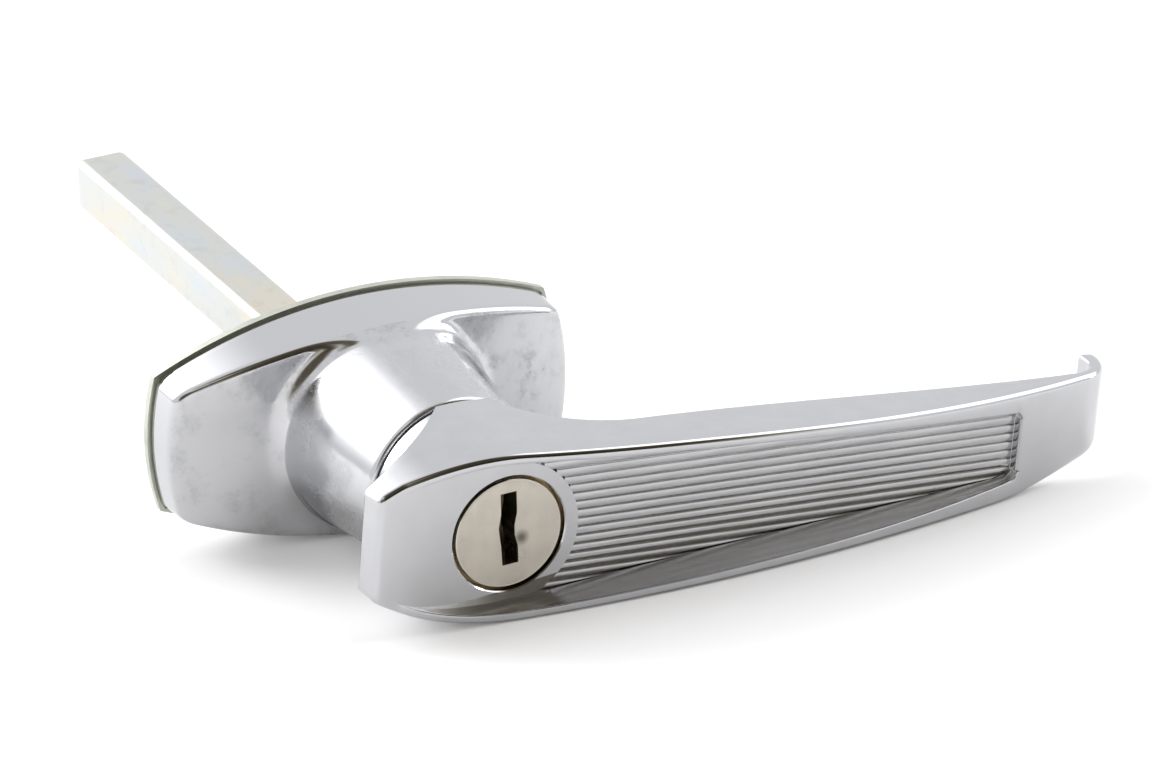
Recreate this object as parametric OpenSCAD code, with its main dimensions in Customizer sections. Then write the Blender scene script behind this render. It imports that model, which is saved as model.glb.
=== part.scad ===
// Locking L-handle with a square spindle.
// Frame: millimetres, origin on the spindle axis in the mounting face,
// +X along the rose towards the grip tip, +Y into the door, +Z up.

/* [Spindle] */
// Width across the flats of the square spindle
spindle_w = 7.94; // [6:0.02:10]
// Length of spindle that stands out behind the mounting face
spindle_out = 88.4; // [40:0.1:140]
// Rounding along the four corners of the spindle
spindle_corner = 1.1; // [0.4:0.1:1.8]
// Length of the rounded-off far end of the spindle
spindle_nose = 1.6; // [0.6:0.1:3]
// Solid web between the front end of the spindle and the bolt
socket_web = 1.8; // [1.2:0.1:3]

/* [Rose] */
// Half length of the rose at its corners
rose_half_l = 29.8; // [27:0.1:36]
// How far each short end of the rose bows out
rose_end_bow = 1.4; // [0.5:0.1:3]
// Half height of the rose at its corners
rose_end_h = 10.0; // [8:0.1:12]
// Half height of the rose at its middle
rose_mid_h = 16.2; // [15:0.1:19]
// Depth of the rose casting at its ends
rose_end_d = 5.6; // [4.5:0.1:7]
// Depth of the rose casting where the wings meet the hub
rose_mid_d = 10.2; // [9:0.1:12]
// Inward lean of the rose side walls, front to back
rose_draft = 0.8; // [0.3:0.1:1.2]
// Wall of the hollow back of the rose
rose_wall = 2.1; // [1.6:0.1:2.4]

/* [Hub] */
// Distance from the mounting face to the front rim of the hub
hub_front = 33.1; // [31:0.1:36]
// Radius of the hub at its front rim
hub_front_r = 12.9; // [12.7:0.1:14]
// Radius of the hub where it meets the wings
hub_base_r = 15.6; // [15:0.1:16]
// Fillet between hub and wings
hub_fillet = 3.0; // [1.5:0.1:4]
// Radius of the running bore in the hub
hub_bore_r = 10.45; // [10:0.05:10.8]
// Radius that the bolt notches reach
notch_r = 12.6; // [12.5:0.05:12.7]

/* [Back plate] */
// Thickness of the steel back plate
plate_t = 1.2; // [0.8:0.1:2]
// Thickness of the gasket between plate and casting
gasket_t = 0.4; // [0.3:0.1:0.8]
// How far the plate stands out round the casting
plate_lip = 0.35; // [0.1:0.05:1]
// Radius of the hole that the spindle passes
plate_hole_r = 6.3; // [6:0.1:7]
// Distance between the two fixing bosses
fixing_pitch = 44.5; // [40:0.1:48]
// Radius of each fixing boss
boss_r = 3.7; // [3.2:0.1:4.2]
// Radius of the tapped hole in each boss
tap_r = 2.1; // [1.5:0.1:2.6]
// Depth of the tapped hole
tap_depth = 7; // [5:0.1:8]

/* [Grip] */
// Angle that the grip hangs below the line of the rose
grip_drop = 6.1; // [0:0.1:8]
// Distance from the mounting face to the flat pad round the lock
pad_y = 49.5; // [49:0.1:52]
// Distance from the axis to the flat left end of the grip
head_l = 19.8; // [18.5:0.1:22]
// Half height of the flat left end
end_h = 7.5; // [6.5:0.1:8.5]
// Height of the top edge over the axis
top_h = 13.0; // [12.8:0.1:14]
// Fall of the top edge from the head to the tip
top_fall = 1.7; // [0:0.1:2.5]
// Depth of the bottom edge under the axis at the head
bottom_h = 11.7; // [11.4:0.1:12.6]
// Depth of the bottom edge at the far end of the recess
bottom_tip_h = 4.8; // [4:0.1:6]
// Distance from the axis to the centre of the hook
hook_x = 89; // [80:0.1:110]
// Outer radius of the hook
hook_r = 7.0; // [5:0.1:9]
// Thickness of the hook
hook_t = 2.3; // [1.8:0.1:3]
// Height of the crest of the grip in front of the pad
bow_h = 6.2; // [4:0.1:8]
// Distance from the crest to the centre of the hook
bow_back = 54; // [50:0.1:58]
// Radius of the bowed front
bow_r = 215; // [200:1:240]
// Distance from the pad back to the flat rear of the grip
rear_set = 3.6; // [3.1:0.1:4.2]
// Radius of the collar that meets the hub
collar_r = 12.6; // [12.3:0.1:12.7]

/* [Fluted recess] */
// Width of the rim left round the recess at the head
rim_w = 1.5; // [1.2:0.1:2.2]
// Width of the rim at the far end of the recess
rim_tip_w = 3.0; // [2:0.1:3.5]
// Distance from the right end of the recess to the centre of the hook
recess_back = 10.4; // [8:0.1:18]
// Pitch of the flutes
flute_pitch = 1.28; // [1.1:0.02:1.8]
// Depth of the flutes
flute_d = 0.55; // [0.3:0.05:0.8]
// Radius of the pad round the lock
pad_r = 10.4; // [9.8:0.1:11]

/* [Lock] */
// Radius of the lock bore in the grip
lock_bore_r = 8.43; // [8.4:0.01:8.6]
// Radius of the face of the plug
face_r = 7.95; // [7.8:0.01:8]
// Thickness of the face of the plug
face_t = 1.45; // [1:0.05:1.8]
// Radius of the body of the plug
plug_r = 7.15; // [7:0.01:7.2]
// Length of the sleeve
sleeve_l = 19.8; // [19:0.1:20]
// Width of the key slot
key_w = 2.4; // [1.8:0.1:2.6]
// Thickness of one tumbler
tumbler_t = 1.4; // [1:0.1:1.6]
// Width of one tumbler
tumbler_w = 5.0; // [4.4:0.1:5.4]
// Distance between tumblers
tumbler_pitch = 3.1; // [2.6:0.1:3.3]
// Travel of a tumbler from the shear line
tumbler_throw = 0.85; // [0.5:0.05:0.9]
// Distance of the drive pin from the axis
crank_r = 1.5; // [1.2:0.05:1.6]
// Radius of the drive pin
crank_pin_r = 1.2; // [0.9:0.05:1.3]

/* [Bolt and stop] */
// Width of the locking bolt
bolt_w = 8.0; // [7:0.1:8.4]
// Thickness of the locking bolt
bolt_t = 2.4; // [1.8:0.1:2.6]
// Radius of the shank that turns in the hub
shank_r = 10.4; // [9.9:0.05:10.75]
// Radius of the stepped end of the shank
neck_r = 9.0; // [8.6:0.1:9.2]
// Distance across the flats of the stepped end
neck_flats = 15.4; // [14.6:0.1:16]
// Radius of the cross pin through shank and spindle
cross_pin_r = 1.6; // [1.2:0.1:2]

/* [Clearances] */
// Radial clearance of a running fit
run_gap = 0.05; // [0.02:0.01:0.08]
// Gap between flat faces that turn on each other
face_gap = 0.1; // [0.05:0.05:0.2]
// Radial clearance of a piece that is driven or dropped in
seat_gap = 0.05; // [0.02:0.01:0.1]
// Gap between the hub and the collar of the grip
hub_gap = 0.5; // [0.4:0.1:1]

/* [Hidden] */
$fn = 96;

// A depth is a distance in front of the mounting face
cast_d = plate_t + gasket_t;
wing_end_d = cast_d + rose_end_d;
wing_mid_d = cast_d + rose_mid_d;
// The boss that the washers run on, inside the hollow back
boss_face_d = 8;
boss_out_r = 14.2;
collar_d = hub_front + hub_gap;

// Stack of the lock, from the face to the bolt
face_d = pad_y - 0.2;
sleeve_d = face_d - face_t - seat_gap;
sleeve_rear_d = sleeve_d - sleeve_l;
sleeve_r = lock_bore_r - seat_gap;
clip_t = 0.6;
clip_d = sleeve_rear_d - face_gap;
plug_rear_d = clip_d - clip_t - 0.3;
bolt_d = plug_rear_d - face_gap;
bolt_rear_d = bolt_d - bolt_t;
cavity_d = bolt_rear_d - face_gap;
spindle_d = cavity_d - socket_web;

// Washers behind the hub
washer_t = 1.2;
washer_r = 11.4;
lug_r = 13.3;
wedge_reach = 20;
lug_half_angle = 8;
washer_d = boss_face_d - face_gap;
spring_d = washer_d - washer_t - face_gap;
cone_h = 1.2;
cone_wall = 0.5;
ring_d = spring_d - cone_h - face_gap;
ring_t = 1.1;
groove_r = neck_r - 1;
shank_end_d = ring_d - ring_t - 1;
cross_pin_d = 14;
// Pin that holds the lock in the head
sleeve_pin_d = 39.5;
sleeve_pin_r = 0.8;
sleeve_pin_l = 4.2;

// Key slot, in the lines of the photographed face
key_top = 6.0;
key_bottom = -4.65;
key_jog = 0.42;
window_w = key_w + 0.6;
window_top = key_top + 0.1;
window_bottom = key_bottom - 0.25;
broach_w = tumbler_w + 0.3;
tumbler_r = plug_r - 0.05;
tumbler_first_d = sleeve_d - 2.6;
// Ear of a tumbler, and the spring that stands under it
ear_w = 1.8;
ear_h = 0.9;
ear_z = 1.9;
spring_wire = 0.3;
spring_r = 0.75;
spring_x = -tumbler_w / 2 - ear_w / 2;
spring_floor_z = -3.5;
spring_turns = 4;

// The drive pin swings a quarter turn, symmetric about the level line
crank_throw = 2 * crank_r * sin(45);
bolt_top_r = shank_r - 0.1;
bolt_low = -5.2;

// Outline of the rose as arcs
rose_long_rise = rose_mid_h - rose_end_h;
rose_long_r = (pow(rose_half_l, 2) + pow(rose_long_rise, 2)) / (2 * rose_long_rise);
rose_short_r = (pow(rose_end_h, 2) + pow(rose_end_bow, 2)) / (2 * rose_end_bow);
wing_rise = wing_mid_d - wing_end_d;
wing_r = (pow(rose_half_l, 2) + pow(wing_rise, 2)) / (2 * wing_rise);

// Grip
bow_d = pad_y + bow_h;
bow_c = bow_r - bow_d;
bow_x = hook_x - bow_back;
recess_x = hook_x - recess_back;
rear_y = pad_y - rear_set;
tip_angle = asin(bow_back / (bow_r - hook_r));
hook_c = bow_c - (bow_r - hook_r) * cos(tip_angle);
hook_in_r = hook_r - hook_t;
tip_x = hook_x + hook_r;
hook_lip = 0.7;
fall_from = 16;
fall_to = 70;
low_x = -3;
rise_blend = 0.04;
bottom_bend_x = recess_x - 2.5;
tip_rise = 5.1;
grip_steps = 44;
recess_corner_r = 1.2;
recess_corner_a = 80;
facet_rear_y = pad_y - 4.3;
// Centres of the concave arcs that lead from the grip to the collar, right and left
swell_r = 17.5;
swell_x = 20.5;
nape_r = 32;
nape_a0 = 324;
nape_a1 = 288;
end_lean = 0.45;
nape_x = -head_l - end_lean - nape_r * cos(nape_a1);
nape_y = -facet_rear_y - nape_r * sin(nape_a1);
collar_root_d = rear_y - 3.4;
collar_fall = 1.2;
big = 200;

chrome = [0.80, 0.81, 0.83];
zinc = [0.74, 0.75, 0.72];
nickel = [0.78, 0.75, 0.70];
brass = [0.80, 0.66, 0.36];
dark = [0.12, 0.12, 0.12];
steel = [0.60, 0.61, 0.62];

// A rod along the spindle axis between two depths
module rod(d0, d1, r) {
  translate([0, -d0, 0]) rotate([90, 0, 0]) cylinder(h = d1 - d0, r = r);
}

// A cone along the spindle axis between two depths
module taper(d0, d1, r0, r1) {
  translate([0, -d0, 0]) rotate([90, 0, 0]) cylinder(h = d1 - d0, r1 = r0, r2 = r1);
}

// A front view shape given thickness between two depths
module slab(d0, d1) {
  translate([0, -d0, 0]) rotate([90, 0, 0]) linear_extrude(d1 - d0) children();
}

// A side profile in depth and radius turned about the spindle axis
module turned() {
  rotate([90, 0, 0]) rotate_extrude() children();
}

// Points of an arc in degrees, both ends included
function arc(cx, cy, r, a0, a1, n) = [for (i = [0:n]) let (a = a0 + (a1 - a0) * i / n)
  [cx + r * cos(a), cy + r * sin(a)]];

// Front outline of the rose, grown by a margin
module rose_outline(grow = 0) {
  intersection_for (s = [-1, 1]) intersection() {
    translate([0, s * (rose_mid_h - rose_long_r)]) circle(r = rose_long_r + grow, $fn = 360);
    translate([s * (rose_half_l + rose_end_bow - rose_short_r), 0]) circle(r = rose_short_r + grow, $fn = 180);
  }
}

// The rose block with its leaning side walls, shrunk by a wall
module rose_block(inset = 0) {
  lean = rose_draft / wing_mid_d * (hub_front + 2);
  intersection_for (s = [-1, 1]) intersection() {
    translate([0, 0, s * (rose_mid_h - rose_long_r)])
      taper(0, hub_front + 2, rose_long_r - inset, rose_long_r - inset - lean, $fn = 360);
    translate([s * (rose_half_l + rose_end_bow - rose_short_r), 0, 0])
      taper(0, hub_front + 2, rose_short_r - inset, rose_short_r - inset - lean, $fn = 180);
  }
}

// The space behind the bowed front of the wings, set back by a wall
module wing_space(inset = 0) {
  translate([0, wing_r - wing_mid_d + inset, 0])
    cylinder(h = big, r = wing_r, center = true, $fn = 360);
}

module fixings(r, d0, d1) {
  for (s = [-1, 1]) translate([s * fixing_pitch / 2, 0, 0]) rod(d0, d1, r);
}

module back_plate() {
  color(zinc) difference() {
    slab(0, plate_t) rose_outline(plate_lip);
    rod(-1, plate_t + 1, plate_hole_r);
    fixings(boss_r + seat_gap, -1, plate_t + 1);
  }
}

module base_gasket() {
  color(dark) difference() {
    slab(plate_t, cast_d) rose_outline(-0.3);
    slab(plate_t - 1, cast_d + 1) rose_outline(-rose_wall);
  }
}

// Hub with a conical side and a fillet at its foot
module hub_solid() {
  lean = (hub_base_r - hub_front_r) / (hub_front - wing_mid_d);
  foot_r = hub_base_r + hub_fillet;
  turned() difference() {
    polygon([
      [0, cast_d], [foot_r, cast_d], [foot_r, wing_mid_d - 1.2], [hub_base_r + 0.1, wing_mid_d + hub_fillet],
      [hub_base_r - lean * hub_fillet, wing_mid_d + hub_fillet],
      [hub_front_r, hub_front - 0.3], [hub_front_r - 0.3, hub_front], [0, hub_front]
    ]);
    translate([foot_r + 0.3, wing_mid_d + hub_fillet - 0.5]) circle(r = hub_fillet + 0.35, $fn = 64);
  }
}

// A wedge from the spindle axis past the lug, with a half angle
function wedge(a) = [
  [0, 0], [wedge_reach * cos(a), wedge_reach * sin(a)], [wedge_reach * cos(a), -wedge_reach * sin(a)]
];

// Two posts that the lug of the stop washer meets
module stop_posts() {
  post = 7;
  for (s = [-1, 1]) rotate([0, -s * (45 + lug_half_angle + post + 0.6), 0])
    intersection() {
      slab(boss_face_d - 1.6, boss_face_d + 1) polygon(wedge(post));
      difference() {
        rod(boss_face_d - 2, boss_face_d + 2, lug_r + 0.5);
        rod(boss_face_d - 3, boss_face_d + 3, washer_r + 0.3);
      }
    }
}

module escutcheon() {
  color(chrome) difference() {
    union() {
      difference() {
        intersection() {
          rose_block();
          union() {
            wing_space();
            hub_solid();
          }
        }
        rod(-1, cast_d, big / 2);
        intersection() {
          rose_block(rose_wall);
          wing_space(rose_wall);
          difference() {
            rod(cast_d - 1, wing_mid_d, big / 4);
            rod(boss_face_d, wing_mid_d + 1, boss_out_r);
          }
        }
      }
      fixings(boss_r, 0, cast_d + 1);
      intersection() {
        fixings(boss_r, cast_d, wing_mid_d);
        wing_space(rose_wall / 2);
      }
      stop_posts();
    }
    rod(-1, hub_front + 1, hub_bore_r);
    fixings(tap_r, -1, tap_depth);
    for (a = [0:90:270]) rotate([0, a, 0]) intersection() {
      rod(-1, bolt_d + 0.2, notch_r);
      translate([-(bolt_w + 0.4) / 2, -(bolt_d + 0.2), 0]) cube([bolt_w + 0.4, bolt_d - boss_face_d + 1, notch_r]);
    }
  }
}

module hub_washer() {
  color(dark) difference() {
    rod(hub_front + 0.03, collar_d - 0.03, hub_front_r - 0.7);
    rod(hub_front - 1, collar_d + 1, hub_bore_r + 0.1);
  }
}

// Ease from 0 to 1, level at both ends
function ease(t) = let (u = min(1, max(0, t))) u * u * (3 - 2 * u);

// Top edge of the grip, seen from the front: round over the head, then falling a little
function top_edge(x) = x < 0
  ? top_h - (top_h - end_h) * pow(-x / head_l, 1.9)
  : top_h - top_fall * ease((x - fall_from) / (fall_to - fall_from));

// Bottom edge: round under the head, a long rise, and a quicker one under the tip
function rise(u) = (sqrt(u * u + rise_blend * rise_blend) - rise_blend) * (1.3 - 0.3 * u)
  / (sqrt(1 + rise_blend * rise_blend) - rise_blend);
function bottom_edge(x) = x < low_x
  ? -bottom_h + (bottom_h - end_h) * pow((low_x - x) / (head_l + low_x), 2.5)
  : x < bottom_bend_x
    ? -bottom_h + (bottom_h - bottom_tip_h) * rise((x - low_x) / (bottom_bend_x - low_x))
    : -bottom_tip_h + tip_rise * pow((x - bottom_bend_x) / (tip_x - bottom_bend_x), 1.3);

// Width of the rim between the edge and the recess
function rim(x) = rim_w + (rim_tip_w - rim_w) * pow(max(0, x / recess_x), 4);

function along(x0, x1, n) = [for (i = [0:n]) x0 + (x1 - x0) * i / n];

// Front outline of the grip
module grip_outline() {
  xs = along(-head_l, tip_x, grip_steps);
  polygon(concat(
    [for (x = xs) [x, bottom_edge(x)]],
    [for (i = [grip_steps:-1:0]) [xs[i], top_edge(xs[i])]]
  ));
}

// Outline of the recess inside the rim, with round corners at the tip end
module recess_outline() {
  x1 = recess_x - recess_corner_r;
  xs = along(-head_l, x1, grip_steps);
  low = bottom_edge(x1) + rim(x1);
  high = top_edge(x1) - rim(x1);
  polygon(concat(
    [[-head_l - 5, bottom_edge(-head_l) + rim_w]],
    [for (x = xs) [x, bottom_edge(x) + rim(x)]],
    arc(x1, low + recess_corner_r, recess_corner_r, -recess_corner_a, 0, 5),
    arc(x1, high - recess_corner_r, recess_corner_r, 0, recess_corner_a, 5),
    [for (i = [grip_steps:-1:0]) [xs[i], top_edge(xs[i]) - rim(xs[i])]],
    [[-head_l - 5, top_edge(-head_l) - rim_w]]
  ));
}

// The grip seen from above: bowed front, flat rear, hook, and a neck that swells to the collar
module grip_profile() {
  bow_end = 270 + tip_angle;
  bow_start = 270 - acos((bow_c + pad_y) / bow_r);
  hook_floor = 360 - asin((hook_c + rear_y) / hook_in_r);
  swell_y = swell_r - rear_y;
  swell_end = 180 + asin((collar_d + swell_y) / swell_r);
  polygon(concat(
    [[-head_l - end_lean, -facet_rear_y], [-head_l, -pad_y]],
    arc(bow_x, bow_c, bow_r, bow_start, bow_end, 40),
    arc(hook_x, hook_c, hook_r, bow_end + 3, 360, 12),
    [[tip_x, hook_c + hook_lip], [tip_x - hook_t, hook_c + hook_lip]],
    arc(hook_x, hook_c, hook_in_r, 360, hook_floor, 8),
    arc(swell_x, swell_y, swell_r, 270, swell_end, 14),
    arc(nape_x, nape_y, nape_r, nape_a0, nape_a1, 8)
  ));
}

module flutes() {
  reach = recess_x + 4;
  count = ceil((top_h + bottom_h) / flute_pitch);
  difference() {
    for (i = [0:count]) translate([0, -pad_y, -bottom_h + i * flute_pitch])
      rotate([90, 0, 90]) linear_extrude(reach) polygon([
        [-1, -flute_pitch / 2 - 0.02], [flute_d, 0], [-1, flute_pitch / 2 + 0.02]
      ]);
    rotate([0, -grip_drop, 0]) rod(0, big, pad_r);
  }
}

module grip_casting() {
  rotate([0, grip_drop, 0]) difference() {
    intersection() {
      slab(0, big) grip_outline();
      linear_extrude(big, center = true) grip_profile();
    }
    slab(pad_y, big) recess_outline();
    intersection() {
      slab(pad_y - 1, pad_y + 0.5) recess_outline();
      flutes();
    }
  }
}

module handle() {
  color(chrome) difference() {
    union() {
      grip_casting();
      taper(collar_d, collar_root_d, collar_r, collar_r - collar_fall);
      rod(washer_d, collar_d + 1, shank_r);
      intersection() {
        rod(shank_end_d, washer_d + 1, neck_r);
        translate([-neck_flats / 2, -washer_d - 1, -neck_r]) cube([neck_flats, washer_d + 1 - shank_end_d, 2 * neck_r]);
      }
    }
    rod(cavity_d, big, lock_bore_r);
    // Way for the bolt
    translate([-bolt_w / 2 - seat_gap, -bolt_d - face_gap, 0])
      cube([bolt_w + 2 * seat_gap, bolt_t + 2 * face_gap, big / 2]);
    // Ring groove
    difference() {
      rod(ring_d - ring_t - face_gap, ring_d, neck_r + 1);
      rod(0, ring_d + 1, groove_r);
    }
    spindle_square(shank_end_d - 1, spindle_d, seat_gap, 0.2);
    translate([0, -cross_pin_d, 0]) rotate([0, 90, 0])
      cylinder(h = big, r = cross_pin_r + seat_gap, center = true);
    rotate([0, 45, 0]) translate([0, -sleeve_pin_d, 0]) mirror([0, 0, 1])
      cylinder(h = big / 4, r = sleeve_pin_r + seat_gap);
  }
}
// Square bar between two depths with rounded corners
module spindle_square(d0, d1, grow, corner) {
  half = spindle_w / 2 + grow;
  intersection() {
    translate([-half, -d1, -half]) cube([2 * half, d1 - d0, 2 * half]);
    rod(d0 - 1, d1 + 1, half * sqrt(2) - corner * (sqrt(2) - 1));
  }
}

module spindle() {
  color(zinc) difference() {
    intersection() {
      spindle_square(-spindle_out, spindle_d - seat_gap, 0, spindle_corner);
      union() {
        taper(-spindle_out, -spindle_out + spindle_nose, spindle_w / 2 - 0.2, spindle_w / 2 + spindle_nose + 0.2);
        rod(-spindle_out + spindle_nose - 0.01, big, spindle_w);
      }
    }
    translate([0, -cross_pin_d, 0]) rotate([0, 90, 0]) cylinder(h = big, r = cross_pin_r + seat_gap, center = true);
  }
}

module spindle_pin() {
  color(steel) translate([-shank_r + 0.25, -cross_pin_d, 0]) rotate([0, 90, 0])
    cylinder(h = 2 * shank_r - 0.5, r = cross_pin_r);
}

// The stepped end of the shank as a hole
module neck_hole(d0, d1) {
  intersection() {
    rod(d0, d1, neck_r + run_gap);
    translate([-neck_flats / 2 - run_gap, -d1, -big / 2]) cube([neck_flats + 2 * run_gap, d1 - d0, big]);
  }
}

module stop_washer() {
  color(steel) difference() {
    union() {
      rod(washer_d - washer_t, washer_d, washer_r);
      rotate([0, 45, 0]) intersection() {
        rod(washer_d - washer_t, washer_d, lug_r);
        slab(washer_d - washer_t, washer_d) polygon(wedge(lug_half_angle));
      }
    }
    neck_hole(washer_d - washer_t - 1, washer_d + 1);
  }
}

// A conical spring washer between the stop washer and the ring
module spring_washer() {
  inner = neck_r + 0.3;
  outer = washer_r - 0.4;
  rear = spring_d - cone_h;
  color(steel) turned() polygon([
    [inner, rear], [inner + cone_wall, rear],
    [outer, spring_d - cone_wall], [outer, spring_d], [outer - cone_wall, spring_d], [inner, rear + cone_wall]
  ]);
}

module retaining_ring() {
  color(steel) difference() {
    rod(ring_d - ring_t, ring_d - face_gap, neck_r + 1.6);
    rod(0, ring_d + 1, groove_r + run_gap);
    translate([0, -ring_d - 1, -1.6]) cube([big, ring_t + 2, 3.2]);
  }
}

module lock_sleeve() {
  color(brass) difference() {
    rod(sleeve_rear_d, sleeve_d, sleeve_r);
    rod(0, big, plug_r + run_gap);
    for (a = [0, 90]) rotate([0, a, 0])
      translate([-broach_w / 2, -sleeve_d + 1.2, -big / 2]) cube([broach_w, sleeve_l, big]);
    rotate([0, 45, 0]) translate([0, -sleeve_pin_d, 0]) mirror([0, 0, 1])
      cylinder(h = big / 4, r = sleeve_pin_r + seat_gap);
  }
}

module sleeve_pin() {
  color(steel) rotate([0, 45, 0]) translate([0, -sleeve_pin_d, 0]) mirror([0, 0, 1]) translate([0, 0, plug_r + 0.25])
    cylinder(h = sleeve_pin_l, r = sleeve_pin_r);
}

// The key slot with its side step
module key_slot() {
  l = 0.15 - key_w / 2;
  r = 0.15 + key_w / 2;
  polygon([
    [l, key_top], [l, 3.0], [l - key_jog, 0.9], [l - key_jog / 3, -1.6], [l, key_bottom],
    [r, key_bottom], [r, -2.2], [r - key_jog, -0.6], [r - key_jog, 1.0], [r, 2.9], [r, key_top]
  ]);
}

function tumbler_at(i) = tumbler_first_d - i * tumbler_pitch;

module lock_plug() {
  color(nickel) difference() {
    union() {
      rod(face_d - face_t, face_d - 0.3, face_r);
      taper(face_d - 0.3, face_d, face_r, face_r - 0.35);
      rod(plug_rear_d, face_d - 0.5, plug_r);
      translate([crank_r * cos(45), 0, -crank_r * sin(45)]) rod(bolt_rear_d, plug_rear_d + 1, crank_pin_r);
    }
    slab(sleeve_rear_d + 2, big) key_slot();
    for (i = [0:4]) translate([-tumbler_w / 2 - 0.05, -tumbler_at(i) - seat_gap, -big / 2])
      cube([tumbler_w + 0.1, tumbler_t + 2 * seat_gap, big]);
    for (i = [0:4]) ear_room(i);
    difference() {
      rod(clip_d - clip_t - seat_gap, clip_d + seat_gap, plug_r + 1);
      rod(0, big, plug_r - 0.75);
    }
  }
}

// Beside the key slot each tumbler has room for its ear, over a blind hole for its spring
module ear_room(i) {
  translate([spring_x - ear_w / 2 - 0.1, -tumbler_at(i) - seat_gap, ear_z - 0.1])
    cube([ear_w + 0.2, tumbler_t + 2 * seat_gap, big]);
  translate([spring_x, -tumbler_at(i) + tumbler_t / 2, spring_floor_z])
    cylinder(h = ear_z - spring_floor_z, r = spring_r + spring_wire / 2 + 0.1, $fn = 32);
}

module plug_clip() {
  color(steel) difference() {
    rod(clip_d - clip_t, clip_d, lock_bore_r - 0.2);
    rod(0, big, plug_r - 0.7);
    translate([-big / 2, -big / 2, -3]) cube([big / 2, big, 6]);
  }
}

module tumbler(i) {
  color(brass) difference() {
    union() {
      intersection() {
        rod(tumbler_at(i) - tumbler_t, tumbler_at(i), tumbler_r);
        translate([-tumbler_w / 2, -tumbler_at(i), -tumbler_r]) cube([tumbler_w, tumbler_t, 2 * tumbler_r]);
      }
      translate([spring_x - ear_w / 2, -tumbler_at(i), ear_z]) cube([ear_w + 1, tumbler_t, ear_h]);
    }
    translate([0.15 - window_w / 2, -tumbler_at(i) - 1, window_bottom])
      cube([window_w, tumbler_t + 2, window_top - window_bottom]);
  }
}

module tumbler_1() { tumbler(0); }
module tumbler_2() { tumbler(1); }
module tumbler_3() { tumbler(2); }
module tumbler_4() { tumbler(3); }
module tumbler_5() { tumbler(4); }

// A coil of round wire that climbs along Z
module coil(r, wire, height, turns) {
  steps = 12;
  sides = 5;
  n = turns * steps;
  climb = height - wire;
  points = [for (i = [0:n], j = [0:sides - 1]) let (a = 360 * i / steps, b = 360 * j / sides)
    [(r + wire / 2 * cos(b)) * cos(a), (r + wire / 2 * cos(b)) * sin(a), wire / 2 + climb * i / n + wire / 2 * sin(b)]];
  sides_of = [for (i = [0:n - 1], j = [0:sides - 1]) let (k = (j + 1) % sides)
    [i * sides + j, i * sides + k, (i + 1) * sides + k, (i + 1) * sides + j]];
  polyhedron(points, concat(
    sides_of,
    [[for (j = [sides - 1:-1:0]) j]],
    [[for (j = [0:sides - 1]) n * sides + j]]
  ), convexity = 10);
}

module tumbler_springs() {
  color(steel) for (i = [0:4])
    translate([spring_x, -tumbler_at(i) + tumbler_t / 2, spring_floor_z + 0.02])
      coil(spring_r, spring_wire, ear_z - spring_floor_z - 0.04, spring_turns);
}

module locking_bolt() {
  slot_half = crank_pin_r + 0.12;
  slot_left = crank_r * cos(45) - slot_half;
  slot_right = crank_r + slot_half;
  color(steel) difference() {
    intersection() {
      translate([-bolt_w / 2, -bolt_d, bolt_low]) cube([bolt_w, bolt_t, big / 4]);
      rod(bolt_rear_d - 1, bolt_d + 1, bolt_top_r);
    }
    translate([slot_left, -bolt_d - 1, -crank_throw / 2 - slot_half])
      cube([slot_right - slot_left, bolt_t + 2, 2 * slot_half]);
  }
}

back_plate();
base_gasket();
escutcheon();
hub_washer();
handle();
spindle();
spindle_pin();
stop_washer();
spring_washer();
retaining_ring();
lock_sleeve();
sleeve_pin();
lock_plug();
plug_clip();
tumbler_1();
tumbler_2();
tumbler_3();
tumbler_4();
tumbler_5();
tumbler_springs();
locking_bolt();
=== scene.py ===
import math

import bmesh
import bpy
from mathutils import Matrix, Vector


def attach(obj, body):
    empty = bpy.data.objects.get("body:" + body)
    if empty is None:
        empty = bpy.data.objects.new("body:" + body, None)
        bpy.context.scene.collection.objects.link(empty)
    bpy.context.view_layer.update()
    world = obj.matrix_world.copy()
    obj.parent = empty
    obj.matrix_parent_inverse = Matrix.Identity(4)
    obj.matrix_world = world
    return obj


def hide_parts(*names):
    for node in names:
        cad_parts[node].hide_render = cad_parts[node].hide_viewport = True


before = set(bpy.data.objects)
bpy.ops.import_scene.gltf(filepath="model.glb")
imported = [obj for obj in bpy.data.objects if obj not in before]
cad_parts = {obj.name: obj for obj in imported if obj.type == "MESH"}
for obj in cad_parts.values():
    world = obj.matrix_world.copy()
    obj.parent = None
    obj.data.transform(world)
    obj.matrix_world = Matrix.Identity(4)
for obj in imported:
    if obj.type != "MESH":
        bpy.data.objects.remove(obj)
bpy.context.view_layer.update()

bl_info = {
    "name": "L-handle lock",
    "version": (1, 0, 0),
    "blender": (4, 5, 0),
    "location": "3D View > Sidebar > Handle",
    "description": "Builds a chrome locking L-handle with its rose, key plug and square spindle",
    "category": "Object",
}

MM = 0.001


def mm(value):
    """Millimetres to metres."""
    return value * MM


# Sizes and colours that a user would change

def length(name, description, millimetres):
    return bpy.props.FloatProperty(name=name, description=description, default=mm(millimetres),
                                   unit="LENGTH", precision=5)


def angle(name, description, degrees):
    return bpy.props.FloatProperty(name=name, description=description, default=math.radians(degrees),
                                   subtype="ANGLE")


def number(name, description, value):
    return bpy.props.FloatProperty(name=name, description=description, default=value)


def colour(name, description, value):
    return bpy.props.FloatVectorProperty(name=name, description=description, default=value, size=3,
                                         subtype="COLOR")


def spot(name, description, millimetres):
    return bpy.props.FloatVectorProperty(name=name, description=description, subtype="XYZ", unit="LENGTH",
                                         default=[mm(v) for v in millimetres])


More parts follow.
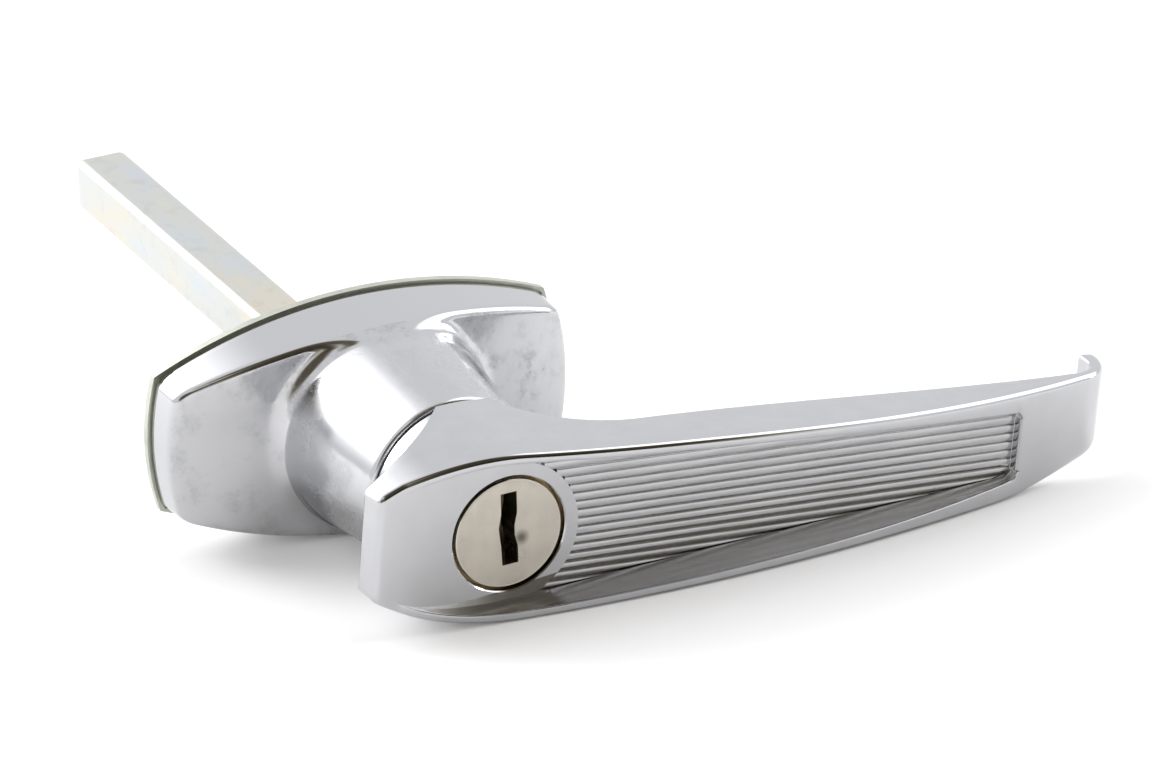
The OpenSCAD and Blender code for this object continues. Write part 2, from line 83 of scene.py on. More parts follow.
class GripSizes(bpy.types.PropertyGroup):
    drop: angle("Drop", "How far the tip hangs below the line of the rose", 6.1)
    pad: length("Pad depth", "Face round the key plug, in front of the door", 49.5)
    head: length("Head length", "From the spindle's axis to the flat end", 19.8)
    end_half: length("End half height", "Half the height of the flat end", 7.5)
    top: length("Top height", "Top edge over the spindle's axis", 13.0)
    top_fall: length("Top fall", "How far the top edge falls towards the tip", 1.7)
    fall_from: length("Fall from", "Where the top edge starts to fall", 20)
    fall_to: length("Fall to", "Where the top edge is level again", 88)
    bottom: length("Bottom depth", "Lowest point of the bottom edge", 11.7)
    bottom_tip: length("Bottom at tip", "Bottom edge where the recess ends", 4.8)
    low_x: length("Low point", "Where the bottom edge is lowest", -3)
    tip_rise: length("Tip rise", "How far the bottom edge rises under the tip", 5.1)
    bow: length("Bow", "How far the crest stands in front of the pad", 6.2)
    bow_x: length("Crest", "Where the bow is highest", 35)
    bow_r: length("Bow radius", "Radius of the bowed front", 215)
    hook_x: length("Hook centre", "Centre of the hook at the tip", 89)
    hook_r: length("Hook radius", "Outer radius of the hook", 7)
    hook_t: length("Hook thickness", "Thickness of the hook", 2.5)
    hook_in_r: length("Hook inside", "Radius inside the hook", 3.8)
    hook_lip: length("Hook lip", "Straight end of the hook", 0.8)
    hook_corner: length("Hook corner", "Rounding of the outer corner of the hook's end", 1.2)
    rear: length("Rear depth", "Rear of the lever at the neck, in front of the door", 45.9)
    rear_fall: length("Rear fall", "How far the rear comes forward from the neck to the hook", 0.7)
    facet_rear: length("Facet rear", "Rear of the flat end, in front of the door", 45.2)
    collar: length("Collar depth", "Rear of the collar, in front of the door", 33.6)
    collar_r: length("Collar radius", "Radius of the collar behind the head", 12.6)
    swell_r: length("Swell radius", "Concave radius from the lever to the collar", 17.5)
    swell_x: length("Swell centre", "Centre of that radius", 20.5)
    nape_r: length("Nape radius", "Concave radius from the flat end to the collar", 32)
    edge: length("Front edge", "Rounding of the front edges at the head", 0.75)
    edge_tip: length("Front edge at tip", "Rounding of the front edges towards the tip", 0.85)
    rear_edge: length("Rear edge", "Rounding of the rear edges", 0.4)
    rim: length("Rim", "Width of the rim beside the recess", 1.4)
    rim_tip: length("Rim at tip", "Width of the rim where the recess ends", 3.0)
    recess_x: length("Recess end", "Right wall of the recess", 78.6)
    recess_corner: length("Recess corner", "Corner radius of the recess", 1.2)
    end_round: length("Recess end rounding", "Rounding over the right wall of the recess", 0.9)
    wall_lean: number("Wall lean", "Lean of the recess walls", 0.12)
    bore_r: length("Bore radius", "Radius of the bore for the key plug", 8.43)
    pad_r: length("Pad radius", "Radius of the plain pad round the bore", 10.4)
    flute_pitch: length("Flute pitch", "Distance from one flute to the next", 1.28)
    flute_height: length("Flute height", "Half the thickness of the oval bars that make the flutes", 0.24)
    pocket_depth: length("Pocket depth", "Depth of the pocket that the flutes lie in", 0.55)


class RoseSizes(bpy.types.PropertyGroup):
    half_l: length("Half length", "Half the length at the corners", 29.8)
    end_bow: length("End bow", "How far the short ends bow out", 1.4)
    end_half: length("End half height", "Half the height at the corners", 10.0)
    mid_half: length("Middle half height", "Half the height in the middle", 16.2)
    cast: length("Casting back", "Back of the casting, in front of the door", 1.6)
    end_depth: length("Wing end depth", "Front of the wings at the corners", 7.2)
    mid_depth: length("Wing middle depth", "Front of the wings at the hub", 11.8)
    draft: length("Draft", "How far the side walls lean in over the wing depth", 0.8)
    hub_front: length("Hub front", "Front of the hub", 33.1)
    hub_r: length("Hub radius", "Radius at the front of the hub", 12.9)
    hub_base_r: length("Hub base radius", "Radius at the foot of the hub", 15.6)
    fillet: length("Fillet", "Radius in the corner of hub and wing", 3.0)
    ridge: length("Ridge", "Rounding of the edge between front and side", 1.15)
    bore_r: length("Bore radius", "Bore for the shank", 10.45)
    notch_r: length("Notch radius", "How far the notches for the bolt reach", 12.6)
    notch_half: length("Notch half width", "Half the width of a notch", 4.2)
    notch_back: length("Notch back", "Depth where the notches start", 7.2)
    notch_front: length("Notch front", "Depth where the notches end", 27.1)
    boss_r: length("Boss radius", "Radius of the tapped bosses", 3.7)
    tap_r: length("Thread radius", "Radius of the tapped holes", 2.1)
    tap_depth: length("Thread depth", "Depth of the tapped holes", 7)
    fixing_pitch: length("Fixing pitch", "Distance between the tapped holes", 44.5)


class SpindleSizes(bpy.types.PropertyGroup):
    width: length("Width", "Across the flats", 7.94)
    out: length("Length", "From the door face to the far end", 88.4)
    inner: length("Inner end", "From the door face to the front end", 22.3)
    corner: length("Corner", "Rounding of the long edges", 1.1)
    nose: length("Nose", "Rounding of the far end", 2.4)


class Finishes(bpy.types.PropertyGroup):
    chrome: colour("Chrome", "Polished plating", (0.56, 0.565, 0.58))
    stain: colour("Stain", "Dried water on the rose", (0.42, 0.42, 0.42))
    zinc: colour("Zinc", "Zinc plating", (0.63, 0.645, 0.62))
    nickel: colour("Nickel", "Worn nickel on the plug", (0.60, 0.56, 0.49))
    # Brass darkened as painted shade, so that the sleeve looks dark in the gap round the plug
    brass: colour("Brass", "Sleeve and tumblers", (0.24, 0.17, 0.08))
    steel: colour("Steel", "Hidden steel pieces", (0.45, 0.46, 0.47))
    dark: colour("Dark", "Washer behind the lever", (0.015, 0.015, 0.016))
    sheet: colour("Sheet", "Joint sheet between plate and rose", (0.13, 0.13, 0.10))
    plate: colour("Plate", "Zinc of the back plate", (0.60, 0.62, 0.54))
    plate_spots: colour("Plate spots", "Duller spots on the back plate", (0.50, 0.52, 0.46))
    # Painted shade of a dent beside the key slot
    dent_painted_shade: colour("Dent", "Worn dent beside the key slot", (0.09, 0.075, 0.06))


class StageSizes(bpy.types.PropertyGroup):
    focal: number("Focal length", "Camera lens in millimetres", 207.5)
    heading: angle("Heading", "Camera heading from straight on", 26.81)
    pitch: angle("Pitch", "Camera pitch below level", 25.41)
    roll: angle("Roll", "Camera roll", -1.15)
    place: spot("Place", "Camera place", (-350.7, -764.2, 400.2))
    # The part lies on the rim of the rose and the underside of the grip
    rest_a: spot("Rest A", "Where the head touches the table", (2.7, -53.4, -11.5))
    rest_b: spot("Rest B", "Where the tip end touches the table", (74.0, -52.0, -12.8))
    rest_c: spot("Rest C", "Where the rose touches the table", (-2.1, -1.2, -16.5))


GROUPS = {
    "lock_grip": GripSizes,
    "lock_rose": RoseSizes,
    "lock_spindle": SpindleSizes,
    "lock_finishes": Finishes,
    "lock_stage": StageSizes,
}


# Mesh helpers

# Points closer than this are one point
WELD = 1e-7


def make_piece(name, points, faces, material):
    """A mesh object from points in metres."""
    mesh = bpy.data.meshes.new(name)
    mesh.from_pydata([tuple(p) for p in points], [], faces)
    mesh.validate()
    mesh.materials.append(material)
    piece = bpy.data.objects.new(name, mesh)
    bpy.context.scene.collection.objects.link(piece)
    return piece


def register_piece(piece, body):
    """Puts the piece on a body."""
    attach(piece, body)


def loft(loops, caps=True):
    """Points and faces of a skin over equal closed loops."""
    count = len(loops[0])
    points = [p for loop in loops for p in loop]
    faces = []
    for i in range(len(loops) - 1):
        a, b = i * count, (i + 1) * count
        for j in range(count):
            k = (j + 1) % count
            faces.append((a + j, a + k, b + k, b + j))
    if caps:
        faces.append(tuple(range(count))[::-1])
        last = (len(loops) - 1) * count
        faces.append(tuple(range(last, last + count)))
    return points, faces


def around(profile, steps=96):
    """A skin made by turning a closed (depth, radius) profile about the spindle axis."""
    loops = []
    for i in range(steps):
        a = 2 * math.pi * i / steps
        loops.append([(r * math.cos(a), -d, r * math.sin(a)) for d, r in profile])
    points = [p for loop in loops for p in loop]
    n = len(profile)
    faces = []
    for i in range(steps):
        a, b = i * n, ((i + 1) % steps) * n
        for j in range(n):
            k = (j + 1) % n
            faces.append((a + j, a + k, b + k, b + j))
    return points, faces


def outward(piece):
    """Welds the mesh and points its faces outwards."""
    bm = bmesh.new()
    bm.from_mesh(piece.data)
    bmesh.ops.remove_doubles(bm, verts=bm.verts, dist=WELD)
    bmesh.ops.dissolve_degenerate(bm, dist=WELD, edges=bm.edges)
    bmesh.ops.recalc_face_normals(bm, faces=bm.faces)
    bm.to_mesh(piece.data)
    bm.free()


def freeze(piece):
    """Turns the modifiers' result into the piece's own mesh."""
    graph = bpy.context.evaluated_depsgraph_get()
    mesh = bpy.data.meshes.new_from_object(piece.evaluated_get(graph), preserve_all_data_layers=True,
                                           depsgraph=graph)
    piece.modifiers.clear()
    old = piece.data
    piece.data = mesh
    mesh.name = piece.name
    bpy.data.meshes.remove(old)


def cut(piece, cutter):
    """Takes the cutter out of the piece."""
    modifier = piece.modifiers.new("cut", "BOOLEAN")
    modifier.operation = "DIFFERENCE"
    modifier.solver = "EXACT"
    modifier.object = cutter
    freeze(piece)
    mesh = cutter.data
    bpy.data.objects.remove(cutter)
    bpy.data.meshes.remove(mesh)


def shade(piece, sharp_degrees=40):
    """Smooth shading by area, with hard edges kept past an angle."""
    mesh = piece.data
    mesh.shade_smooth()
    mesh.set_sharp_from_angle(angle=math.radians(sharp_degrees))
    modifier = piece.modifiers.new("normals", "WEIGHTED_NORMAL")
    modifier.keep_sharp = True
    modifier.weight = 100
    freeze(piece)


def spread(low, high, count):
    """Equal steps from low to high, both ends in the list."""
    return [low + (high - low) * i / count for i in range(count + 1)]


def rounding(size, degrees):
    """How far a rounding lies in from its two sides, at an angle along it."""
    t = math.radians(degrees)
    return size * (1 - math.sin(t)), size * (1 - math.cos(t))


def ease(x, start, end):
    """0 up to the start, 1 past the end, level at both."""
    u = min(1, max(0, (x - start) / (end - start)))
    return u * u * (3 - 2 * u)


# Grip

# Strips of the lever's skin, counted round a section, that are the recess's upper and lower walls
WALL_STRIPS = (11, 13)
# How far the flat end leans back from front to rear
END_LEAN = mm(0.45)
# Angle on the nape's arc where it leaves the flat end
NAPE_START = math.radians(288)
# The bottom edge bends this far before the recess's right wall
BEND_BACK = mm(2.5)
# How soft the bottom edge's lowest point is, and how much of its rise comes early
LOW_BLEND = 0.04
EARLY_RISE = 0.3
# Powers of the edge lines: top and bottom at the flat end, bottom under the tip, width of the rim
TOP_POWER = 1.9
BOTTOM_POWER = 2.5
TIP_POWER = 1.3
RIM_POWER = 4
# Along this part of the lever the front edge grows from one rounding to the other
EDGE_FROM, EDGE_TO = mm(35), mm(70)
# A rounding or a gap that is as good as none
SMALLEST = mm(0.01)
# Broken edge of the recess: its size, the most of the depth that it takes, and how full it is
LIP = mm(0.26)
LIP_SHARE = 0.3
LIP_FULL = 0.3
# Where there is no recess, its points stay this far from the front edges
FLAT_MARGIN = mm(0.2)
# Rounding of the inner corner of the hook's end
HOOK_INNER = mm(0.45)
# Angles along the roundings of the front, of the rear and of the small ends
FRONT_TURNS = (22.5, 45, 67.5, 90)
REAR_TURNS = (30, 60, 90)
FINE_TURNS = (15, 30, 45, 60, 75, 90)
# Stations in each part of the lever
STATIONS = {"end": 8, "bow": 22, "collar": 8, "swell": 18, "recess": 60, "corner": 10, "neck": 14, "hook": 26}


class GripShape:
    """The lever in its own frame: outline, profile and recess."""

    def __init__(self, s):
        self.s = s
        self.turn = Matrix.Rotation(s.drop, 3, "Y")
        self.tip_x = s.hook_x + s.hook_r
        crest = s.pad + s.bow
        self.bow_c = s.bow_r - crest
        self.tip_angle = math.asin((s.hook_x - s.bow_x) / (s.bow_r - s.hook_r))
        self.hook_c = self.bow_c - (s.bow_r - s.hook_r) * math.cos(self.tip_angle)
        self.bend_x = s.recess_x - BEND_BACK
        self.start_x = s.bow_x - math.sqrt(s.bow_r ** 2 - (self.bow_c + s.pad) ** 2)
        self.end_x = -s.head - END_LEAN
        # The nape arc runs from the flat end to the collar
        self.nape_x = self.end_x - s.nape_r * math.cos(NAPE_START)
        self.nape_y = -s.facet_rear - s.nape_r * math.sin(NAPE_START)
        self.nape_end = self.nape_x + math.sqrt(s.nape_r ** 2 - (s.collar + self.nape_y) ** 2)
        self.swell_y = s.swell_r - s.rear
        self.in_x = self.tip_x - s.hook_t - s.hook_in_r
        self.in_y = s.hook_in_r - s.rear - s.rear_fall
        self.swell_end = s.swell_x - math.sqrt(s.swell_r ** 2 - (s.collar + self.swell_y) ** 2)

    def world(self, x, y, z):
        return self.turn @ Vector((x, y, z))

    def front_y(self, x):
        s = self.s
        if x < self.start_x:
            return -s.pad
        return self.bow_c - math.sqrt(s.bow_r ** 2 - (x - s.bow_x) ** 2)

    def rear_y(self, x):
        s = self.s
        if x < self.nape_end:
            return self.nape_y - math.sqrt(s.nape_r ** 2 - (x - self.nape_x) ** 2)
        if x < self.swell_end:
            return -s.collar
        if x < s.swell_x:
            return self.swell_y - math.sqrt(max(0, s.swell_r ** 2 - (x - s.swell_x) ** 2))
        return -s.rear - s.rear_fall * (x - s.swell_x) / (self.in_x - s.swell_x)

    def top(self, x):
        s = self.s
        if x < 0:
            return s.top - (s.top - s.end_half) * (-x / s.head) ** TOP_POWER
        return s.top - s.top_fall * ease(x, s.fall_from, s.fall_to)

    def bottom(self, x):
        s = self.s
        if x < s.low_x:
            return -s.bottom + (s.bottom - s.end_half) * ((s.low_x - x) / (s.head + s.low_x)) ** BOTTOM_POWER
        if x < self.bend_x:
            u = (x - s.low_x) / (self.bend_x - s.low_x)
            soft = math.sqrt(u * u + LOW_BLEND ** 2) - LOW_BLEND
            full = math.sqrt(1 + LOW_BLEND ** 2) - LOW_BLEND
            rise = soft * (1 + EARLY_RISE - EARLY_RISE * u) / full
            return -s.bottom + (s.bottom - s.bottom_tip) * rise
        u = (x - self.bend_x) / (self.tip_x - self.bend_x)
        return -s.bottom_tip + s.tip_rise * u ** TIP_POWER

    def rim(self, x):
        s = self.s
        return s.rim + (s.rim_tip - s.rim) * max(0, x / s.recess_x) ** RIM_POWER

    def edge(self, x):
        s = self.s
        return s.edge + (s.edge_tip - s.edge) * ease(x, EDGE_FROM, EDGE_TO)

    def recess_depth(self, x):
        """Depth of the recess under the bowed front, rounded over at its right wall."""
        s = self.s
        if x <= self.start_x or x >= s.recess_x + s.end_round:
            return 0
        if x > s.recess_x:
            wall = s.end_round - math.sqrt(s.end_round ** 2 - (s.recess_x + s.end_round - x) ** 2)
        else:
            wall = s.end_round + (s.recess_x - x) / s.wall_lean
        return min(-s.pad - self.front_y(x), wall)

    def recess(self, x, inset=0):
        """Upper and lower limits of the recess, set in by a distance, or None past its end."""
        s = self.s
        end = s.recess_x - inset
        r = s.recess_corner - min(inset, s.recess_corner * 0.8)
        x1 = end - r
        if x <= x1:
            return self.top(x) - self.rim(x) - inset, self.bottom(x) + self.rim(x) + inset
        high = self.top(x1) - self.rim(x1) - inset
        low = self.bottom(x1) + self.rim(x1) + inset
        round_off = r - math.sqrt(max(0, r * r - (min(x, end) - x1) ** 2))
        return high - round_off, low + round_off

    def section(self, front, rear, inset=0, along=None):
        """A closed loop of points round the lever at one station."""
        s = self.s
        f, r = Vector(front), Vector(rear)
        run = (r - f).normalized()
        along = inset if along is None else along
        f, r = f + run * along, r - run * along
        depth_all = (r - f).length
        fe = max(self.edge(f.x) - inset, SMALLEST)
        re = max(s.rear_edge - inset, SMALLEST)

        def point(d, z):
            p = f + run * d
            return self.world(p.x, p.y, z)

        def top_at(d):
            return self.top((f + run * d).x) - inset

        def bottom_at(d):
            return self.bottom((f + run * d).x) + inset

        loop = []
        # Top, from rear to front
        for d in spread(depth_all - re, fe, 4):
            loop.append(point(d, top_at(d)))
        for a in FRONT_TURNS:
            d, fall = rounding(fe, a)
            loop.append(point(d, top_at(fe) - fall))
        # Front face with the recess, from top to bottom
        x = f.x
        depth = self.recess_depth(x) if inset == 0 else 0
        lip = min(LIP, depth * LIP_SHARE)
        high, low = self.recess(min(x, s.recess_x))
        lean = depth * s.wall_lean
        floor_high, floor_low = self.recess(min(x, s.recess_x - lean), lean)
        floor_high, floor_low = min(floor_high, high), max(floor_low, low)
        if depth <= 0:
            high = min(high, top_at(0) - fe - FLAT_MARGIN)
            low = max(low, bottom_at(0) + fe + FLAT_MARGIN)
            floor_high, floor_low = high, low
        loop.append(point(0, high + lip))
        loop.append(point(lip * LIP_FULL, high + lip * LIP_FULL))
        loop.append(point(lip, high + (floor_high - high) * (lip / depth if depth else 0)))
        loop.append(point(depth, floor_high))
        loop.append(point(depth, floor_low))
        loop.append(point(lip, low + (floor_low - low) * (lip / depth if depth else 0)))
        loop.append(point(lip * LIP_FULL, low - lip * LIP_FULL))
        loop.append(point(0, low - lip))
        # Bottom, from front to rear
        for a in FRONT_TURNS[::-1]:
            d, rise = rounding(fe, a)
            loop.append(point(d, bottom_at(fe) + rise))
        for d in spread(fe, depth_all - re, 4):
            loop.append(point(d, bottom_at(d)))
        # Rear face, from bottom to top
        low_z, high_z = bottom_at(depth_all - re), top_at(depth_all - re)
        for a in REAR_TURNS:
            d, rise = rounding(re, a)
            loop.append(point(depth_all - d, low_z + rise))
        for a in REAR_TURNS[::-1]:
            d, fall = rounding(re, a)
            loop.append(point(depth_all - d, high_z - fall))
        return loop

    def stations(self):
        """Pairs of front and rear points along the lever, each with an inset for the round ends."""
        s = self.s
        out = []
        for a in (0,) + FRONT_TURNS:
            inset, step = rounding(s.edge, a)
            xf, xr = -s.head + step, self.end_x + step
            out.append(((xf, -s.pad), (xr, self.rear_y(xr)), inset))
        for x in spread(-s.head + s.edge, self.start_x, STATIONS["end"])[1:]:
            lag = END_LEAN * (self.start_x - x) / (self.start_x + s.head)
            out.append(((x, self.front_y(x)), (x - lag, self.rear_y(x - lag)), 0))
        xs = spread(self.start_x, self.nape_end, STATIONS["bow"])[1:]
        xs += spread(self.nape_end, self.swell_end, STATIONS["collar"])[1:]
        first = math.atan2(-s.collar - self.swell_y, self.swell_end - s.swell_x)
        for a in spread(first + 2 * math.pi, 1.5 * math.pi, STATIONS["swell"])[1:]:
            xs.append(s.swell_x + s.swell_r * math.cos(a))
        corner_x = s.recess_x - s.recess_corner
        xs += spread(s.swell_x, corner_x, STATIONS["recess"])[1:]
        for t in spread(0, 0.5 * math.pi, STATIONS["corner"])[1:-1]:
            xs.append(corner_x + s.recess_corner * math.sin(t))
        full = (-s.pad - self.front_y(s.recess_x) - s.end_round) * s.wall_lean
        xs += [s.recess_x - full, s.recess_x - full * 0.5, s.recess_x]
        xs += [s.recess_x + rounding(s.end_round, a)[1] for a in FINE_TURNS]
        xs = sorted(set(round(x, 8) for x in xs))
        for x in xs:
            out.append(((x, self.front_y(x)), (x, self.rear_y(x)), 0))
        # On to the hook, where front and rear turn about centres of their own
        bow_end_x = s.hook_x + s.hook_r * math.sin(self.tip_angle)
        first_x = s.recess_x + s.end_round
        for u in spread(0, 1, STATIONS["neck"])[1:]:
            xf = first_x + (bow_end_x - first_x) * u
            xr = first_x + (self.in_x - first_x) * u
            out.append(((xf, self.front_y(xf)), (xr, self.rear_y(xr)), 0))
        for u in spread(0, 1, STATIONS["hook"])[1:]:
            a = (self.tip_angle - 0.5 * math.pi) * (1 - u)
            b = -0.5 * math.pi * (1 - u)
            front = (s.hook_x + s.hook_r * math.cos(a), self.hook_c + s.hook_r * math.sin(a))
            rear = (self.in_x + s.hook_in_r * math.cos(b), self.in_y + s.hook_in_r * math.sin(b))
            out.append((front, rear, 0))
        end_y = self.hook_c + s.hook_lip
        inner_x = self.tip_x - s.hook_t
        corner = s.hook_corner
        start_y = end_y - corner
        if start_y < self.hook_c:
            out = [item for item in out if item[0][0] < s.hook_x or item[0][1] < start_y]
        for a in (0,) + FINE_TURNS:
            drop, side = rounding(1, a)
            front = (self.tip_x - corner * side, end_y - corner * drop)
            rear = (inner_x + HOOK_INNER * side, end_y - HOOK_INNER * drop)
            out.append((front, rear, HOOK_INNER * side, 0))
        return out

    def recess_outline(self, inset):
        """Points round the recess to the right of the bore's axis, for the flute pocket."""
        s = self.s
        corner_x = s.recess_x - s.recess_corner
        xs = spread(0, corner_x, 40)
        xs += [corner_x + (s.recess_corner - inset) * math.sin(t) for t in spread(0, 0.5 * math.pi, 8)[1:]]
        highs = [(x, self.recess(x, inset)[0]) for x in xs]
        lows = [(x, self.recess(x, inset)[1]) for x in xs]
        return lows + highs[::-1]


def build_grip(sizes, material, painted_light_wall_material):
    shape = GripShape(sizes)
    loops = [shape.section(*station) for station in shape.stations()]
    points, faces = loft(loops)
    grip = make_piece("grip_casting", points, faces, material)
    grip.data.materials.append(painted_light_wall_material)
    # The recess's upper and lower walls take the chrome with painted light
    for face in grip.data.polygons:
        x = (shape.turn.inverted() @ face.center).x
        if face.index % len(loops[0]) in WALL_STRIPS and shape.start_x < x < sizes.recess_x:
            face.material_index = 1
    outward(grip)
    # Bore for the key plug, with a broken edge, from inside the collar out past the front
    flare = mm(0.15)
    back, front, wide_r = sizes.collar + mm(2), sizes.pad + mm(20), sizes.bore_r + 2 * flare
    bore = [(back, 0), (back, sizes.bore_r), (sizes.pad - flare, sizes.bore_r),
            (sizes.pad + flare, wide_r), (front, wide_r), (front, 0)]
    points, faces = around(bore, 128)
    cutter = make_piece("bore_cutter", points, faces, material)
    outward(cutter)
    cut(grip, cutter)
    # Pocket under the flutes, to the right of the plain pad, cut from over the face
    clear, over = mm(0.05), mm(0.3)
    inset = clear + sizes.wall_lean * mm(1)
    top_y, floor_y = -sizes.pad - over, -sizes.pad + sizes.pocket_depth
    pocket = ring_and_recess(sizes.pad_r, shape.recess_outline(inset))
    points, faces = loft([[shape.world(x, y, z) for x, z in pocket] for y in (top_y, floor_y)])
    cutter = make_piece("pocket_cutter", points, faces, material)
    outward(cutter)
    cut(grip, cutter)
    add_collar(grip, sizes, material)
    shade(grip, 35)
    register_piece(grip, "lever")
    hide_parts("handle")
    return grip


def ring_and_recess(radius, outline):
    """The recess outline with the round pad taken out of its left end."""
    lows = outline[:len(outline) // 2]
    highs = outline[len(outline) // 2:]
    low_start = next(i for i, (x, z) in enumerate(lows) if math.hypot(x, z) > radius)
    high_end = max(i for i, (x, z) in enumerate(highs) if math.hypot(x, z) > radius)
    lows, highs = lows[low_start:], highs[:high_end + 1]
    a0 = math.atan2(highs[-1][1], highs[-1][0])
    a1 = math.atan2(lows[0][1], lows[0][0])
    arc = [(radius * math.cos(a), radius * math.sin(a)) for a in spread(a0, a1, 48)]
    return lows + highs + arc


def add_collar(grip, sizes, material):
    """The round neck behind the head, part of the same casting."""
    r = sizes.collar_r
    back = sizes.collar + SMALLEST
    # Rounding of the rear rim, thickness of the ring, and where and how much thinner it ends in the lever
    soft, wall, root, fall = mm(0.35), mm(2), mm(42.5), mm(1.2)
    profile = [(back, r - wall), (back, r - soft), (back + soft * 0.3, r - soft * 0.3), (back + soft, r),
               (root, r - fall), (root, r - wall)]
    points, faces = around(profile, 128)
    collar = make_piece("collar", points, faces, material)
    outward(collar)
    join(grip, collar)


def join(target, other):
    """Adds the mesh of another object to the target's."""
    bm = bmesh.new()
    bm.from_mesh(target.data)
    bm.from_mesh(other.data)
    bm.to_mesh(target.data)
    bm.free()
    mesh = other.data
    bpy.data.objects.remove(other)
    bpy.data.meshes.remove(mesh)


# Rose

# Rounding of the hub's front rim
HUB_SOFT = mm(0.5)
# Rounding of the outline where a long and a short side meet
OUTLINE_SOFT = mm(0.4)
# Steps out along the wing's front, enough of them to pass the corner
WING_STEP = mm(0.5)
WING_STEPS = 40
# Points along the front of a profile
FRONT_POINTS = 64
# Broken edge at the back: end of the straight side wall, then how far in and forward its points lie
BACK_STRAIGHT = mm(0.25)
BACK_EDGE = ((mm(0.08), mm(0.06)), (mm(0.3), 0))
# Directions are closer together within this angle of a corner
CORNER_ZONE = math.radians(3)


class RoseShape:
    """The rose as profiles round the spindle axis."""

    def __init__(self, s):
        self.s = s
        rise = s.mid_half - s.end_half
        self.long_r = (s.half_l ** 2 + rise ** 2) / (2 * rise)
        self.short_r = (s.end_half ** 2 + s.end_bow ** 2) / (2 * s.end_bow)
        self.lean = s.draft / s.mid_depth
        wing_rise = s.mid_depth - s.end_depth
        self.wing_r = (s.half_l ** 2 + wing_rise ** 2) / (2 * wing_rise)
        self.hub_lean = (s.hub_base_r - s.hub_r) / (s.hub_front - s.mid_depth)

    def reach(self, a, depth):
        """Distance from the axis to the side wall in direction a, at a depth."""
        s = self.s
        c, n = abs(math.cos(a)), abs(math.sin(a))
        shrink = self.lean * depth
        long_r, short_r = self.long_r - shrink, self.short_r - shrink
        # Ray against the long arc (centre below) and the short arc (centre behind)
        cy = s.mid_half - self.long_r
        b = n * cy
        long_hit = b + math.sqrt(b * b - cy * cy + long_r ** 2)
        cx = s.half_l + s.end_bow - self.short_r
        b = c * cx
        short_hit = b + math.sqrt(b * b - cx * cx + short_r ** 2)
        gap = abs(long_hit - short_hit)
        soft = max(0, OUTLINE_SOFT * 4 - gap) / (OUTLINE_SOFT * 4)
        return min(long_hit, short_hit) - soft * soft * OUTLINE_SOFT

    def wing_depth(self, x):
        s = self.s
        return s.mid_depth - (self.wing_r - math.sqrt(max(0, self.wing_r ** 2 - x * x)))

    def front(self, a):
        """(radius, depth) points of the hub's front rim, and from there out along the front of the wing."""
        s = self.s
        c = math.cos(a)
        soft = HUB_SOFT
        rim = [(s.bore_r, s.hub_front), (s.hub_r - soft, s.hub_front)]
        for t in (math.radians(22.5), math.radians(45), math.radians(67.5)):
            rim.append((s.hub_r - soft + soft * math.sin(t), s.hub_front - soft + soft * math.cos(t)))

        def cone(d):
            return s.hub_base_r - self.hub_lean * (d - s.mid_depth)

        # Centre of the fillet by a few rounds of correction
        rc, dc = s.hub_base_r + s.fillet, s.mid_depth + s.fillet
        for _ in range(12):
            slope = -rc * c * c / math.sqrt(max(1e-9, self.wing_r ** 2 - (rc * c) ** 2))
            dc = self.wing_depth(rc * c) + s.fillet * math.sqrt(1 + slope * slope)
            rc = cone(dc) + s.fillet * math.sqrt(1 + self.hub_lean ** 2)
        a_hub = math.pi + math.atan(self.hub_lean)
        a_wing = 1.5 * math.pi + math.atan(slope)
        top_d = dc + s.fillet * math.sin(a_hub)
        tail = [(cone(d), d) for d in spread(s.hub_front - soft, top_d, 14)[:-1]]
        for t in spread(a_hub, a_wing, 16):
            tail.append((rc + s.fillet * math.cos(t), dc + s.fillet * math.sin(t)))
        r0 = tail[-1][0]
        for i in range(1, WING_STEPS):
            r = r0 + WING_STEP * i
            tail.append((r, self.wing_depth(r * c)))
        return rim, tail

    def profile(self, a):
        """The closed loop at one direction, with the same number of points at each."""
        s = self.s
        loop, tail = self.front(a)
        kept = [tail[0]]
        for p, q in zip(tail, tail[1:]):
            gp = p[0] - self.reach(a, p[1])
            gq = q[0] - self.reach(a, q[1])
            if gq >= 0:
                t = gp / (gp - gq)
                kept.append((p[0] + (q[0] - p[0]) * t, p[1] + (q[1] - p[1]) * t))
                break
            kept.append(q)
        ridge = kept[-1]
        along = [0]
        for p, q in zip(kept, kept[1:]):
            along.append(along[-1] + math.hypot(q[0] - p[0], q[1] - p[1]))
        total = along[-1]
        size = min(s.ridge, total * 0.3)

        def at(distance):
            for i in range(len(kept) - 1):
                if along[i + 1] >= distance or i == len(kept) - 2:
                    span = max(1e-12, along[i + 1] - along[i])
                    t = (distance - along[i]) / span
                    p, q = kept[i], kept[i + 1]
                    return p[0] + (q[0] - p[0]) * t, p[1] + (q[1] - p[1]) * t

        for distance in spread(0, total - size, FRONT_POINTS):
            loop.append(at(distance))
        start = loop[-1]
        foot_d = ridge[1] - size
        foot = (self.reach(a, foot_d), foot_d)
        for t in (0.2, 0.4, 0.6, 0.8, 1.0):
            k0, k1, k2 = (1 - t) ** 2, 2 * t * (1 - t), t * t
            loop.append(tuple(k0 * p + k1 * q + k2 * r for p, q, r in zip(start, ridge, foot)))
        for d in spread(foot_d, s.cast + BACK_STRAIGHT, 6)[1:]:
            loop.append((self.reach(a, d), d))
        edge = self.reach(a, s.cast)
        for inward, forward in BACK_EDGE:
            loop.append((edge - inward, s.cast + forward))
        loop.append((s.bore_r, s.cast))
        return loop

